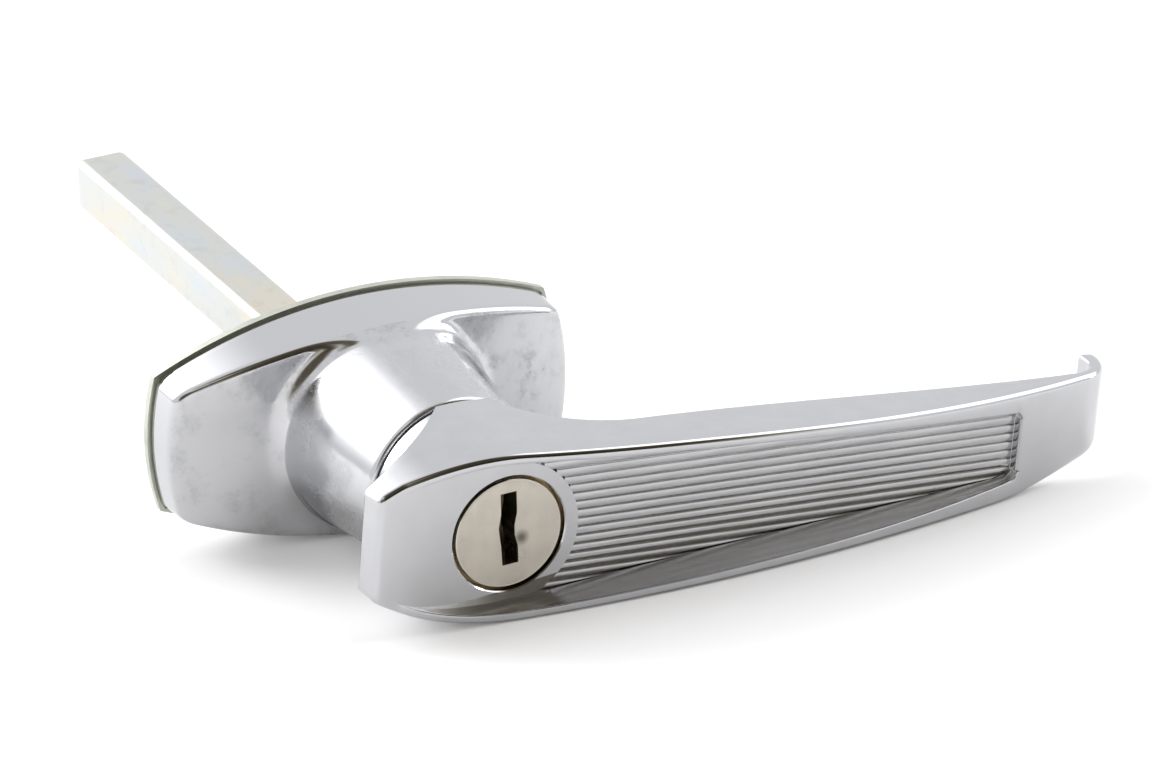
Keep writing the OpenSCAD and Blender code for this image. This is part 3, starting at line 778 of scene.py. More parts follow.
    def directions(self):
        """Directions round the rose, closer together at the corners."""
        s = self.s
        corner = math.atan2(s.end_half, s.half_l)
        quarter = spread(0, corner - CORNER_ZONE, 18)[:-1]
        quarter += spread(corner - CORNER_ZONE, corner + CORNER_ZONE, 24)[:-1]
        quarter += spread(corner + CORNER_ZONE, 0.5 * math.pi, 60)[:-1]
        half = quarter + [math.pi - a for a in [0.5 * math.pi] + quarter[::-1][:-1]] + [math.pi]
        return sorted(set(round(v, 9) for v in half + [a + math.pi for a in half[1:-1]]))


def build_rose(sizes, material):
    shape = RoseShape(sizes)
    loops = []
    for a in shape.directions():
        loops.append([(r * math.cos(a), -d, r * math.sin(a)) for r, d in shape.profile(a)])
    loops.append(loops[0])
    points, faces = loft(loops, caps=False)
    rose = make_piece("rose_casting", points, faces, material)
    outward(rose)
    cut_notches(rose, sizes, material)
    shade(rose, 50)
    register_piece(rose, "rose")
    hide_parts("escutcheon")
    return rose


def cut_notches(rose, sizes, material):
    """Four notches in the bore, for the bolt."""
    half, r = sizes.notch_half, sizes.notch_r
    side = math.asin(half / r)
    # The cutter starts in the open bore
    root = sizes.bore_r * 0.8
    outline = [(-half, root), (half, root)]
    outline += [(r * math.sin(a), r * math.cos(a)) for a in spread(side, -side, 12)]
    for k in range(4):
        turn = Matrix.Rotation(0.5 * math.pi * k, 3, "Y")
        points, faces = loft([[turn @ Vector((x, -d, z)) for x, z in outline]
                              for d in (sizes.notch_back, sizes.notch_front)])
        cutter = make_piece("notch_cutter", points, faces, material)
        outward(cutter)
        cut(rose, cutter)


# Spindle

def build_spindle(sizes, material):
    """The square bar with rounded long edges, a broken front end and a rounded far end."""
    half = sizes.width / 2
    # Towards the ends the long edges get sharper, down to a least rounding
    sharpen, least = 0.4, mm(0.3)

    def loop(y, inset):
        h, r = half - inset, max(sizes.corner - inset * sharpen, least)
        pts = []
        for k, (sx, sz) in enumerate(((1, 1), (-1, 1), (-1, -1), (1, -1))):
            for i in range(9):
                t = math.radians(90 * k + 90 * i / 8)
                pts.append((sx * (h - r) + r * math.cos(t), y, sz * (h - r) + r * math.sin(t)))
        return pts

    broken = mm(0.3)
    rows = [(-sizes.inner, broken), (-sizes.inner + broken, 0)]
    rows += [(y, 0) for y in spread(mm(-20), sizes.out - sizes.nose - mm(1), 24)]
    # The far end: most of a quarter round, then one flat step inwards
    for t in spread(0, math.radians(64), 8):
        rows.append((sizes.out - sizes.nose + sizes.nose * math.sin(t), sizes.nose * (1 - math.cos(t))))
    last_y, last_inset = rows[-1]
    rows.append((last_y + mm(0.12), last_inset + mm(1.2)))
    rows = [(min(y, sizes.out), inset) for y, inset in rows]
    points, faces = loft([loop(y, inset) for y, inset in rows])
    bar = make_piece("spindle_bar", points, faces, material)
    outward(bar)
    shade(bar, 60)
    register_piece(bar, "lever")
    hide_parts("spindle")
    return bar


# Depth and radius of the plug's turned edge, in millimetres
PLUG_EDGE = ((49.0, 7.6), (49.0, 7.94), (49.16, 7.94), (49.26, 7.9), (49.32, 7.82), (49.32, 7.76),
             (49.29, 7.6))


def build_plug_edge(material):
    """The turned edge round the face of the key plug."""
    points, faces = around([(mm(depth), mm(radius)) for depth, radius in PLUG_EDGE], 128)
    ring = make_piece("plug_edge", points, faces, material)
    outward(ring)
    shade(ring, 30)
    register_piece(ring, "plug")
    return ring


# Geometry Nodes

class Tree:
    """A small builder for Geometry Nodes trees."""

    def __init__(self, name):
        self.group = bpy.data.node_groups.new(name, "GeometryNodeTree")
        self.group.interface.new_socket("Geometry", in_out="OUTPUT", socket_type="NodeSocketGeometry")
        self.source = self.group.nodes.new("NodeGroupInput")
        self.sink = self.group.nodes.new("NodeGroupOutput")
        self.inputs = {}

    def size(self, name, value, kind="NodeSocketFloat"):
        socket = self.group.interface.new_socket(name, in_out="INPUT", socket_type=kind)
        self.inputs[name] = (socket.identifier, value)
        return self.source.outputs[name]

    def node(self, kind, settings=None, sockets=None):
        node = self.group.nodes.new(kind)
        for key, value in (settings or {}).items():
            setattr(node, key, value)
        for key, value in (sockets or {}).items():
            socket = node.inputs[key]
            if isinstance(value, bpy.types.NodeSocket):
                self.group.links.new(value, socket)
            else:
                socket.default_value = value
        return node

    def math(self, operation, a, b=0.0, c=0.0):
        return self.node("ShaderNodeMath", {"operation": operation}, {0: a, 1: b, 2: c}).outputs[0]

    def vector(self, x, y=0.0, z=0.0):
        return self.node("ShaderNodeCombineXYZ", sockets={0: x, 1: y, 2: z}).outputs[0]

    def row(self, count):
        """A row of points, and the index of each."""
        line = self.node("GeometryNodeMeshLine", {"mode": "OFFSET"}, {"Count": count}).outputs[0]
        return line, self.node("GeometryNodeInputIndex").outputs[0]

    def put(self, points, place):
        """The points, each at its place."""
        sockets = {"Geometry": points, "Position": place}
        return self.node("GeometryNodeSetPosition", sockets=sockets).outputs[0]

    def copies(self, points, piece, scale=(1, 1, 1)):
        """The piece at each point."""
        sockets = {"Points": points, "Instance": piece, "Scale": scale}
        return self.node("GeometryNodeInstanceOnPoints", sockets=sockets).outputs[0]

    def finish(self, geometry, material):
        real = self.node("GeometryNodeRealizeInstances", sockets={"Geometry": geometry}).outputs[0]
        sockets = {"Geometry": real, "Material": material}
        painted = self.node("GeometryNodeSetMaterial", sockets=sockets).outputs[0]
        self.group.links.new(painted, self.sink.inputs[0])

    def apply(self, name):
        """A mesh object with what the tree makes."""
        piece = bpy.data.objects.new(name, bpy.data.meshes.new(name))
        bpy.context.scene.collection.objects.link(piece)
        modifier = piece.modifiers.new("nodes", "NODES")
        modifier.node_group = self.group
        for identifier, value in self.inputs.values():
            modifier[identifier] = value
        freeze(piece)
        return piece


# Flutes: how many, how far the lowest lies over the bottom edge, and half a bar's width in pitches
FLUTES = 18
LOWEST_FLUTE = mm(1.7)
FLUTE_HALF_WIDTH = 0.55
# How far they reach in under the pad's edge, stop before the right wall, and lie under the pad's face
FLUTE_UNDER = mm(0.12)
FLUTE_SHORT = mm(0.1)
FLUTE_SUNK = mm(0.03)
# The recess's long walls, which the outer flutes run into: a point on each, and how steep it is
LOW_WALL_X, LOW_WALL_Z, LOW_WALL_SLOPE = mm(4), mm(-10.2), 0.107
HIGH_WALL_X, HIGH_WALL_Z, HIGH_WALL_SLOPE = mm(38), mm(11.4), 0.08
SHORTEST_FLUTE = mm(0.5)


def build_flutes(sizes, material):
    """The flutes of the recess: bars side by side, each as long as the recess is there."""
    tree = Tree("flutes")
    pitch = tree.size("Pitch", sizes.flute_pitch)
    height = tree.size("Height", sizes.flute_height)
    pad_r = tree.size("Pad radius", sizes.pad_r - FLUTE_UNDER)
    end_x = tree.size("End", sizes.recess_x - FLUTE_SHORT)
    face = tree.size("Face", -sizes.pad + FLUTE_SUNK)
    low = tree.size("Lowest", -sizes.bottom + LOWEST_FLUTE)
    count = tree.size("Count", FLUTES, "NodeSocketInt")
    low_slope = tree.size("Lower wall slope", LOW_WALL_SLOPE)
    high_slope = tree.size("Upper wall slope", HIGH_WALL_SLOPE)
    width = tree.size("Half width in pitches", FLUTE_HALF_WIDTH)
    line, index = tree.row(count)
    z = tree.math("MULTIPLY_ADD", index, pitch, low)
    # Each bar starts at the round pad and stops at the first wall that it meets
    square = tree.math("SUBTRACT", tree.math("MULTIPLY", pad_r, pad_r), tree.math("MULTIPLY", z, z))
    start = tree.math("SQRT", tree.math("MAXIMUM", square, 0.0))
    low_run = tree.math("DIVIDE", tree.math("ADD", z, -LOW_WALL_Z), low_slope)
    high_run = tree.math("DIVIDE", tree.math("SUBTRACT", HIGH_WALL_Z, z), high_slope)
    low_end = tree.math("ADD", low_run, LOW_WALL_X)
    high_end = tree.math("ADD", high_run, HIGH_WALL_X)
    stop = tree.math("MINIMUM", end_x, tree.math("MINIMUM", low_end, high_end))
    placed = tree.put(line, tree.vector(start, face, z))
    # The bar: a flat oval swept along X, wider than the pitch, so that neighbours meet in a narrow groove
    circle = tree.node("GeometryNodeCurvePrimitiveCircle", {"mode": "RADIUS"},
                       {"Resolution": 24, "Radius": 1.0}).outputs[0]
    stretch = tree.vector(height, tree.math("MULTIPLY", pitch, width), 1.0)
    oval = tree.node("GeometryNodeTransform", sockets={"Geometry": circle, "Scale": stretch}).outputs[0]
    run = tree.node("GeometryNodeCurvePrimitiveLine", {"mode": "POINTS"},
                    {"Start": (0, 0, 0), "End": (1, 0, 0)}).outputs[0]
    bar = tree.node("GeometryNodeCurveToMesh",
                    sockets={"Curve": run, "Profile Curve": oval, "Fill Caps": True}).outputs[0]
    # Each bar is scaled along X to its own run
    run_l = tree.math("MAXIMUM", tree.math("SUBTRACT", stop, start), SHORTEST_FLUTE)
    tree.finish(tree.copies(placed, bar, tree.vector(run_l, 1.0, 1.0)), material)
    flutes = tree.apply("grip_flutes")
    turn = Matrix.Rotation(sizes.drop, 3, "Y")
    # The bars' fronts, not their middles, lie at the face
    for v in flutes.data.vertices:
        v.co = turn @ (v.co + Vector((0, sizes.flute_height, 0)))
    flutes.data.shade_smooth()
    flutes.data.set_sharp_from_angle(angle=math.radians(50))
    register_piece(flutes, "lever")
    return flutes


def build_bosses(sizes, material):
    """The two tapped bosses that show in the back plate."""
    tree = Tree("bosses")
    pitch = tree.size("Pitch", sizes.fixing_pitch)
    line, index = tree.row(2)
    x = tree.math("MULTIPLY", tree.math("SUBTRACT", index, 0.5), pitch)
    placed = tree.put(line, tree.vector(x))
    # The outside from the door to the casting, the back of the blind hole, then the thread down to the door
    soft, lead, relief = mm(0.2), mm(0.3), mm(0.6)
    groove, groove_depth, crest = mm(0.7), mm(0.25), mm(0.3)
    r, depth, front = sizes.tap_r, sizes.tap_depth, sizes.cast + soft
    profile = [(0, r + lead), (0, sizes.boss_r - soft), (soft, sizes.boss_r), (front, sizes.boss_r),
               (front, r + relief), (depth + lead, r + relief), (depth + lead, 0.0), (depth, 0.0), (depth, r)]
    for i in range(int(depth / groove), 0, -1):
        profile += [(groove * i - groove * 0.5, r - groove_depth), (groove * (i - 1) + crest, r)]
    points, faces = around(profile, 48)
    one = make_piece("boss_source", points, faces, material)
    outward(one)
    info = tree.node("GeometryNodeObjectInfo", {"transform_space": "ORIGINAL"}, {"Object": one})
    tree.finish(tree.copies(placed, info.outputs["Geometry"]), material)
    bosses = tree.apply("rose_bosses")
    mesh = one.data
    bpy.data.objects.remove(one)
    bpy.data.meshes.remove(mesh)
    shade(bosses, 40)
    register_piece(bosses, "rose")
    return bosses


# Materials

class Value:
    """A shader socket that Python arithmetic works on."""

    def __init__(self, shader, socket):
        self.shader, self.socket = shader, socket

    def _math(self, operation, other=0.0, flip=False):
        a, b = (other, self) if flip else (self, other)
        return self.shader.node("ShaderNodeMath", {"operation": operation}, {0: a, 1: b}).value()

    def __add__(self, other):
        return self._math("ADD", other)

    def __mul__(self, other):
        return self._math("MULTIPLY", other)

    def __sub__(self, other):
        return self._math("SUBTRACT", other)

    def __rsub__(self, other):
        return self._math("SUBTRACT", other, flip=True)

    __radd__ = __add__

    def clamp(self):
        return self.shader.node("ShaderNodeClamp", {}, {0: self}).value()


class Made:
    """A node that was added to a shader."""

    def __init__(self, shader, node):
        self.shader, self.node = shader, node

    def value(self, name=0):
        return Value(self.shader, self.node.outputs[name])


class Nodes:
    """A shader tree built node by node."""

    def __init__(self, tree):
        self.tree = tree

    def node(self, kind, settings=None, sockets=None):
        node = self.tree.nodes.new(kind)
        for key, value in (settings or {}).items():
            setattr(node, key, value)
        for key, value in (sockets or {}).items():
            self.feed(node.inputs[key], value)
        return Made(self, node)

    def feed(self, socket, value):
        if isinstance(value, Value):
            self.tree.links.new(value.socket, socket)
        elif isinstance(value, tuple) and len(value) == 3 and socket.type == "RGBA":
            socket.default_value = (*value, 1)
        else:
            socket.default_value = value

    def band(self, value, low, high):
        """0 at low, 1 at high, held past both."""
        return self.node("ShaderNodeMapRange", {"clamp": True},
                         {"Value": value, "From Min": low, "From Max": high}).value()

    def mix(self, mask, a, b):
        """Colour a where the mask is 0, b where it is 1."""
        return self.node("ShaderNodeMix", {"data_type": "RGBA"}, {0: mask, 6: a, 7: b}).value(2)


class Shader(Nodes):
    """A material with one glossy surface."""

    def __init__(self, name):
        self.material = bpy.data.materials.new(name)
        self.material.use_nodes = True
        super().__init__(self.material.node_tree)
        self.bsdf = self.tree.nodes["Principled BSDF"]

    def bsdf_value(self):
        return Value(self, self.bsdf.outputs[0])

    def set(self, **sockets):
        for key, value in sockets.items():
            self.feed(self.bsdf.inputs[key.replace("_", " ")], value)

    def place(self, scale, turn):
        where = self.node("ShaderNodeTexCoord").value("Object")
        return self.node("ShaderNodeMapping", {}, {"Vector": where, "Scale": scale, "Rotation": turn}).value()

    def coordinate(self, axis):
        where = self.node("ShaderNodeTexCoord").value("Object")
        return self.node("ShaderNodeSeparateXYZ", {}, {0: where}).value(axis)

    def noise(self, scale, detail=3, rough=0.55, stretch=(1, 1, 1), turn=(0, 0, 0)):
        sockets = {"Vector": self.place(stretch, turn), "Scale": scale, "Detail": detail, "Roughness": rough}
        return self.node("ShaderNodeTexNoise", {"noise_dimensions": "3D"}, sockets).value("Fac")

    def bump(self, height, distance, strength):
        sockets = {"Height": height, "Distance": distance, "Strength": strength}
        self.feed(self.bsdf.inputs["Normal"], self.node("ShaderNodeBump", {}, sockets).value())


def tint(tone, factor):
    return tuple(min(1, c * factor) for c in tone)


def plain_finish(name, tone, metallic, roughness):
    """A material of one tone and one gloss."""
    m = Shader(name)
    m.set(Metallic=metallic, Base_Color=tone, Roughness=roughness)
    return m.material


def chrome_grip(f):
    """Clean mirror chrome, a little uneven as polished castings are."""
    m = Shader("chrome_grip")
    haze = m.noise(260, 4)
    tone = m.mix(m.band(haze, 0.35, 0.75), tint(f.chrome, 0.97), tint(f.chrome, 1.02))
    m.set(Metallic=1.0, Base_Color=tone)
    m.set(Roughness=0.045 + m.band(haze, 0.5, 0.8) * 0.03)
    m.bump(m.noise(60, 2), mm(0.03), 0.12)
    return m.material


def chrome_flutes(f):
    """The milled flutes, with fine marks along them."""
    m = Shader("chrome_flutes")
    marks = m.noise(1500, 3, stretch=(0.04, 1, 1))
    tone = m.mix(m.band(marks, 0.35, 0.7), tint(f.chrome, 0.84), tint(f.chrome, 1.02))
    m.set(Metallic=1.0, Base_Color=tone)
    m.set(Roughness=0.12 + marks * 0.08)
    m.bump(marks, mm(0.015), 0.2)
    return m.material


def chrome_wall(f):
    """The side walls of the recess, with painted light: their chrome is made far brighter than the rest,
    standing in for the light they reflect, with marks along them.
    """
    m = Shader("chrome_wall")
    marks = m.noise(1200, 3, stretch=(0.03, 1, 0.4))
    # Painted light: the base colour is the chrome lifted 1.62 to 1.8 times
    m.set(Metallic=1.0, Base_Color=m.mix(m.band(marks, 0.4, 0.65), tint(f.chrome, 1.62), tint(f.chrome, 1.8)))
    m.set(Roughness=0.2 + marks * 0.1)
    return m.material


def chrome_rose(f):
    """Chrome with dried water, hazy patches and fine rubbing marks."""
    m = Shader("chrome_rose")
    rose = bpy.context.scene.lock_rose
    cloud = m.noise(110, 5, 0.6)
    blot = m.noise(330, 6, 0.7)
    rub = m.noise(700, 3, stretch=(1, 0.12, 0.35))
    # The side walls stay clean: only what stands as far out as the wings' front takes the stains
    x, y = m.coordinate("X"), m.coordinate("Y")
    out = 0 - y + x * x * (rose.mid_depth - rose.end_depth) * (1 / rose.half_l ** 2)
    front = m.band(out, rose.mid_depth - mm(0.6), rose.mid_depth - mm(0.2))
    hub = m.band(0 - y, rose.mid_depth + mm(2), rose.mid_depth + mm(5))
    patches = m.band(cloud, 0.46, 0.60) * m.band(blot, 0.38, 0.58) * front * (1 - hub * 0.6)
    rings = m.band(blot, 0.52, 0.56) * (1 - m.band(blot, 0.57, 0.62))
    rings = rings * m.band(cloud, 0.45, 0.6) * front * (1 - hub * 0.7)
    tone = m.mix(patches * 0.45, tint(f.chrome, 1.0), tint(f.stain, 1.0))
    m.set(Metallic=1.0, Base_Color=m.mix(rings * 0.4, tone, tint(f.stain, 0.8)))
    haze = hub * (0.06 + m.band(cloud, 0.4, 0.62) * 0.16)
    m.set(Roughness=(0.07 + patches * 0.2 + haze + m.band(rub, 0.45, 0.8) * front * 0.12).clamp())
    m.bump(m.noise(70, 3), mm(0.05), 0.15)
    return m.material


def zinc_bar(f):
    """Bright zinc on the drawn bar: drawing lines, faint colours and scratches."""
    m = Shader("zinc_bar")
    draw = m.noise(900, 3, stretch=(1, 0.03, 1))
    hue = m.noise(130, 3, stretch=(1, 0.4, 1))
    red, green, blue = f.zinc
    warm = m.mix(m.band(hue, 0.48, 0.62), (red, green, blue), (red * 1.08, green, blue * 0.9))
    cool = m.mix(m.band(hue, 0.3, 0.44), (red * 0.93, green * 0.99, blue * 1.1), warm)
    tone = m.mix(m.band(m.noise(420, 5), 0.55, 0.75) * 0.4, cool, tint(f.zinc, 0.75))
    # Painted shade: the far end is darker
    out = bpy.context.scene.lock_spindle.out
    end = m.band(m.coordinate("Y"), out - mm(1.2), out - mm(0.4))
    # Painted shade: towards the far end the colour is mixed to a dark zinc
    m.set(Metallic=1.0, Base_Color=m.mix(end, tone, tint(f.zinc, 0.3)))
    m.set(Roughness=0.24 + draw * 0.16)
    m.bump(draw, mm(0.03), 0.25)
    return m.material


def zinc_plate(f):
    """The plate's zinc, greener and duller than the bar's."""
    m = Shader("zinc_plate")
    spots = m.noise(300, 4)
    m.set(Metallic=1.0, Base_Color=m.mix(m.band(spots, 0.4, 0.7), tuple(f.plate), tuple(f.plate_spots)))
    m.set(Roughness=0.25 + spots * 0.2)
    return m.material


# Middle of the painted shade of a dent in the plug's face
DENT_SHADE_MIDDLE = (mm(1.9), mm(-49.3), mm(-1.1))


def nickel_face(f):
    """Worn nickel with swirls, and painted shade of a dent beside the key slot."""
    m = Shader("nickel_face")
    swirl = m.noise(500, 4, 0.6, stretch=(1, 1, 0.3), turn=(0, 0.7, 0))
    worn = m.noise(190, 4)
    tone = m.mix(m.band(worn, 0.4, 0.7), tint(f.nickel, 1.04), tint(f.nickel, 0.88))
    tone = m.mix(m.band(swirl, 0.5, 0.75) * 0.5, tone, tint(f.nickel, 1.15))
    where = m.node("ShaderNodeTexCoord").value("Object")
    distance = m.node("ShaderNodeVectorMath", {"operation": "DISTANCE"}, {0: where, 1: DENT_SHADE_MIDDLE}).value("Value")
    # Painted shade: a dark spot where the dent lies
    near = 1 - m.band(distance, mm(0.3), mm(1.35))
    m.set(Metallic=1.0, Base_Color=m.mix(near * 0.8, tone, tuple(f.dent_painted_shade)))
    m.set(Roughness=0.2 + m.band(worn, 0.4, 0.8) * 0.14)
    m.bump(swirl, mm(0.02), 0.2)
    return m.material


def nickel_edge(f):
    """The bright turned edge of the plug."""
    return plain_finish("nickel_edge", tint(f.nickel, 1.05), 1.0, 0.12)


def brass(f):
    """The sleeve and the tumblers, in brass darkened as painted shade for the gap round the key plug."""
    return plain_finish("brass", tuple(f.brass), 1.0, 0.3)


def steel(f):
    """The hidden pins, washers, rings and springs."""
    return plain_finish("steel", tuple(f.steel), 1.0, 0.3)


def joint(f):
    """The sheet between plate and rose, dark olive grey."""
    return plain_finish("joint_sheet", tuple(f.sheet), 0.0, 0.45)


def dark(f):
    """The thin washer between hub and lever."""
    return plain_finish("dark_washer", tuple(f.dark), 0.0, 0.5)


MADE = {}


def finish(maker):
    """The material from a maker function, made once."""
    if maker.__name__ not in MADE:
        MADE[maker.__name__] = maker(bpy.context.scene.lock_finishes)
    return MADE[maker.__name__]


def paint_node(node, maker):
    """Gives a solid of the part a finish."""
    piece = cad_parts[node]
    piece.data.materials.clear()
    piece.data.materials.append(finish(maker))


# Stage

def look(heading, pitch, roll):
    """Camera axes in the object's frame: right, up and back."""
    level = math.cos(pitch)
    forward = Vector((math.sin(heading) * level, math.cos(heading) * level, -math.sin(pitch)))
    right = Vector((math.cos(heading), -math.sin(heading), 0))
    up = right.cross(forward)
    r = right * math.cos(roll) + up * math.sin(roll)
    u = up * math.cos(roll) - right * math.sin(roll)
    return r, u, -forward


def build_camera(s):
    data = bpy.data.cameras.new("camera")
    data.lens = s.focal
    data.sensor_width = 36
    data.clip_start, data.clip_end = 0.05, 20
    camera = bpy.data.objects.new("camera", data)
    bpy.context.scene.collection.objects.link(camera)
    r, u, b = look(s.heading, s.pitch, s.roll)
    turn = Matrix((r, u, b)).transposed().to_4x4()
    camera.matrix_world = Matrix.Translation(Vector(s.place)) @ turn
    bpy.context.scene.camera = camera


def table_frame(s):
    """Origin and axes of the table that the part lies on."""
    a, b, c = Vector(s.rest_a), Vector(s.rest_b), Vector(s.rest_c)
    normal = (b - a).cross(c - a).normalized()
    if normal.z < 0:
        normal.negate()
    side = (Vector((1, 0, 0)) - normal * normal.x).normalized()
    return a, side, normal.cross(side), normal


# The table: half its side, its gap under the part, its tone, and its own light as the camera sees it
TABLE_HALF = 3.0
TABLE_GAP = mm(0.05)
TABLE_TONE = (0.88, 0.88, 0.885)
GLOW_TONE, GLOW = (1.0, 0.995, 0.995), 0.1


def build_table(s):
    origin, side, away, normal = table_frame(s)
    origin = origin - normal * TABLE_GAP
    half = TABLE_HALF
    points = [origin + side * (half * i) + away * (half * j) for i, j in ((-1, -1), (1, -1), (1, 1), (-1, 1))]
    m = Shader("table_white")
    m.set(Base_Color=TABLE_TONE, Roughness=0.7)
    m.feed(m.bsdf.inputs["Specular IOR Level"], 0.2)
    # Seen straight on, the table is paper white outside the shadows
    glow = m.node("ShaderNodeEmission", {}, {"Color": GLOW_TONE, "Strength": GLOW}).value()
    lit = m.node("ShaderNodeAddShader", {}, {0: m.bsdf_value(), 1: glow}).value()
    seen = m.node("ShaderNodeLightPath").value("Is Camera Ray")
    final = m.node("ShaderNodeMixShader", {}, {0: seen, 1: m.bsdf_value(), 2: lit}).value()
    m.tree.links.new(final.socket, m.tree.nodes["Material Output"].inputs["Surface"])
    table = make_piece("table", points, [(0, 1, 2, 3)], m.material)


# Area lamps: name, place, what they face, sides, power, and whether they show in the polish
LAMPS = (
    ("panel_left", (-0.55, 0.75, 0.42), (-0.05, 0.1, 0), (0.5, 0.4), 4.2, True),
    ("panel_side", (-0.9, -0.2, 0.35), (-0.15, -0.1, -0.02), (0.4, 0.4), 3, False),
    ("panel_right", (0.95, -0.15, 0.30), (0.5, -0.1, 0), (0.3, 0.3), 2.6, True),
)


def add_area(name, place, aim, sides, power, mirrored):
    data = bpy.data.lights.new(name, "AREA")
    data.shape = "RECTANGLE"
    data.size, data.size_y = sides
    data.energy = power
    lamp = bpy.data.objects.new(name, data)
    bpy.context.scene.collection.objects.link(lamp)
    lamp.location = place
    lamp.rotation_euler = (Vector(aim) - Vector(place)).to_track_quat("-Z", "Y").to_euler()
    lamp.visible_glossy = mirrored


# Bright parts of the room, as direction, inner and outer half angle, and light added
BRIGHT_PARTS = (
    ((-0.40, 0.80, 0.43), 5, 34, 2.4),
    ((0.72, 0.02, 0.69), 18, 31, 1.5),
)
# Dark parts of the room, as direction, inner and outer half angle, and share of the light that is gone
DARK_PARTS = (
    ((0.12, -0.72, 0.68), 22, 40, 0.92),
    ((0.10, -0.99, 0.12), 14, 31, 0.84),
    ((-0.05, -0.10, 0.99), 12, 24, 0.85),
    ((-0.65, -0.56, 0.45), 16, 28, 0.86),
)
# Colour of the room's light in the dark parts and in the others
DIM_TONE = (0.97, 0.82, 0.55)
LIT_TONE = (0.985, 0.985, 1.0)


def build_world():
    """White all round, with bright panels on the left and the right, and the dark of the room in front."""
    world = bpy.data.worlds.new("studio")
    bpy.context.scene.world = world
    world.use_nodes = True
    world.node_tree.nodes.clear()
    room = Nodes(world.node_tree)
    way = room.node("ShaderNodeTexCoord").value("Generated")

    def near(direction, inner, outer):
        axis = tuple(Vector(direction).normalized())
        along = room.node("ShaderNodeVectorMath", {"operation": "DOT_PRODUCT"}, {0: way, 1: axis})
        low, high = math.cos(math.radians(outer)), math.cos(math.radians(inner))
        return room.node("ShaderNodeMapRange", {"interpolation_type": "SMOOTHSTEP"},
                         {"Value": along.value("Value"), "From Min": low, "From Max": high}).value()

    level = 1.0
    for direction, inner, outer, gain in BRIGHT_PARTS:
        level = level + near(direction, inner, outer) * gain
    light = 1
    for direction, inner, outer, share in DARK_PARTS:
        light = (1 - near(direction, inner, outer) * share) * light
    tone = room.node("ShaderNodeBackground", {},
                     {"Color": room.mix(light, DIM_TONE, LIT_TONE), "Strength": level * light}).value()
    white = room.node("ShaderNodeBackground", {}, {"Color": (1, 1, 1), "Strength": 1.0}).value()
    seen = room.node("ShaderNodeLightPath").value("Is Camera Ray")
    final = room.node("ShaderNodeMixShader", {}, {0: seen, 1: tone, 2: white}).value()
    room.node("ShaderNodeOutputWorld", {}, {"Surface": final})


# Operators

class LOCK_OT_camera(bpy.types.Operator):
    """Place the camera at the photograph's view"""
    bl_idname = "lock.camera"
    bl_label = "Camera"

    def execute(self, context):
        build_camera(context.scene.lock_stage)
        return {"FINISHED"}


class LOCK_OT_grip(bpy.types.Operator):
    """Build the lever casting with its recess, hook and bore"""
    bl_idname = "lock.grip"
    bl_label = "Grip casting"

    def execute(self, context):
        build_grip(context.scene.lock_grip, finish(chrome_grip), finish(chrome_wall))
        return {"FINISHED"}


class LOCK_OT_flutes(bpy.types.Operator):
    """Build the flutes in the recess"""
    bl_idname = "lock.flutes"
    bl_label = "Flutes"

    def execute(self, context):
        build_flutes(context.scene.lock_grip, finish(chrome_flutes))
        return {"FINISHED"}


class LOCK_OT_rose(bpy.types.Operator):
    """Build the rose with its wings and hub"""
    bl_idname = "lock.rose"
    bl_label = "Rose"

    def execute(self, context):
        build_rose(context.scene.lock_rose, finish(chrome_rose))
        build_bosses(context.scene.lock_rose, finish(zinc_plate))
        return {"FINISHED"}


class LOCK_OT_spindle(bpy.types.Operator):
    """Build the square spindle"""
    bl_idname = "lock.spindle"
    bl_label = "Spindle"

    def execute(self, context):
        build_spindle(context.scene.lock_spindle, finish(zinc_bar))
        return {"FINISHED"}


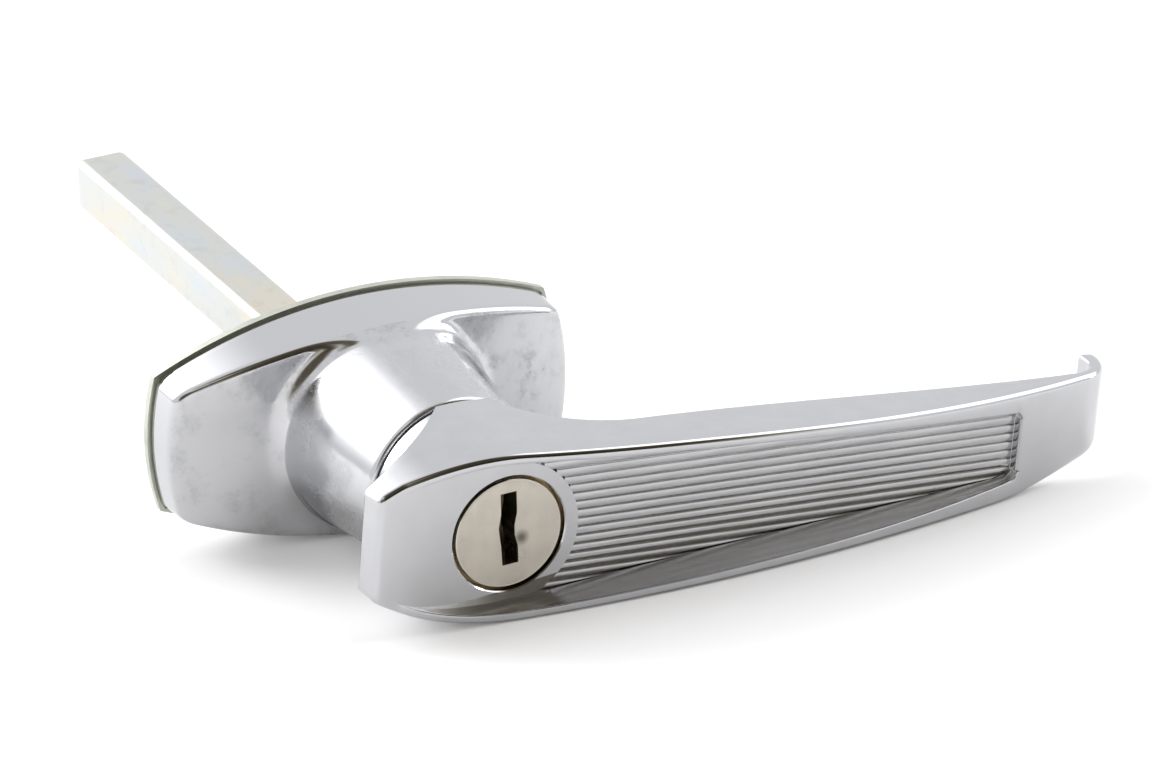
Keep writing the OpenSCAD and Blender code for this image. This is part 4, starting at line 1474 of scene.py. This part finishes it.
class LOCK_OT_fittings(bpy.types.Operator):
    """Give the plug, sleeve, plate and hidden pieces their finishes"""
    bl_idname = "lock.fittings"
    bl_label = "Fittings"

    def execute(self, context):
        paint_node("base_gasket", joint)
        paint_node("hub_washer", dark)
        for node in ("spindle_pin", "stop_washer", "spring_washer", "retaining_ring", "sleeve_pin",
                     "plug_clip", "tumbler_springs", "locking_bolt"):
            paint_node(node, steel)
        # The sleeve takes the darkened brass, painted shade in the gap round the plug
        for node in ["lock_sleeve"] + ["tumbler_%d" % i for i in range(1, 6)]:
            paint_node(node, brass)
        paint_node("lock_plug", nickel_face)
        build_plug_edge(finish(nickel_edge))
        paint_node("back_plate", zinc_plate)
        return {"FINISHED"}


class LOCK_OT_stage(bpy.types.Operator):
    """Build the table, the room and the lamps"""
    bl_idname = "lock.stage"
    bl_label = "Stage"

    def execute(self, context):
        build_table(context.scene.lock_stage)
        build_world()
        for lamp in LAMPS:
            add_area(*lamp)
        return {"FINISHED"}


OPERATORS = (LOCK_OT_camera, LOCK_OT_grip, LOCK_OT_flutes, LOCK_OT_rose, LOCK_OT_spindle, LOCK_OT_fittings,
             LOCK_OT_stage)


class LOCK_PT_panel(bpy.types.Panel):
    """Buttons that build the handle, and its sizes"""
    bl_idname = "LOCK_PT_panel"
    bl_label = "L-handle lock"
    bl_space_type = "VIEW_3D"
    bl_region_type = "UI"
    bl_category = "Handle"

    def draw(self, context):
        column = self.layout.column()
        for operator in OPERATORS:
            column.operator(operator.bl_idname)
        for key, group in GROUPS.items():
            box = self.layout.box()
            for name in group.__annotations__:
                box.prop(getattr(context.scene, key), name)


CLASSES = tuple(GROUPS.values()) + OPERATORS + (LOCK_PT_panel,)


def register():
    for item in CLASSES:
        bpy.utils.register_class(item)
    for key, group in GROUPS.items():
        setattr(bpy.types.Scene, key, bpy.props.PointerProperty(type=group))


def unregister():
    for key in GROUPS:
        delattr(bpy.types.Scene, key)
    for item in reversed(CLASSES):
        bpy.utils.unregister_class(item)


def main():
    register()
    bpy.context.scene.view_settings.view_transform = "Standard"
    for operator in OPERATORS:
        group, name = operator.bl_idname.split(".")
        getattr(getattr(bpy.ops, group), name)()


if __name__ == "__main__":
    main()
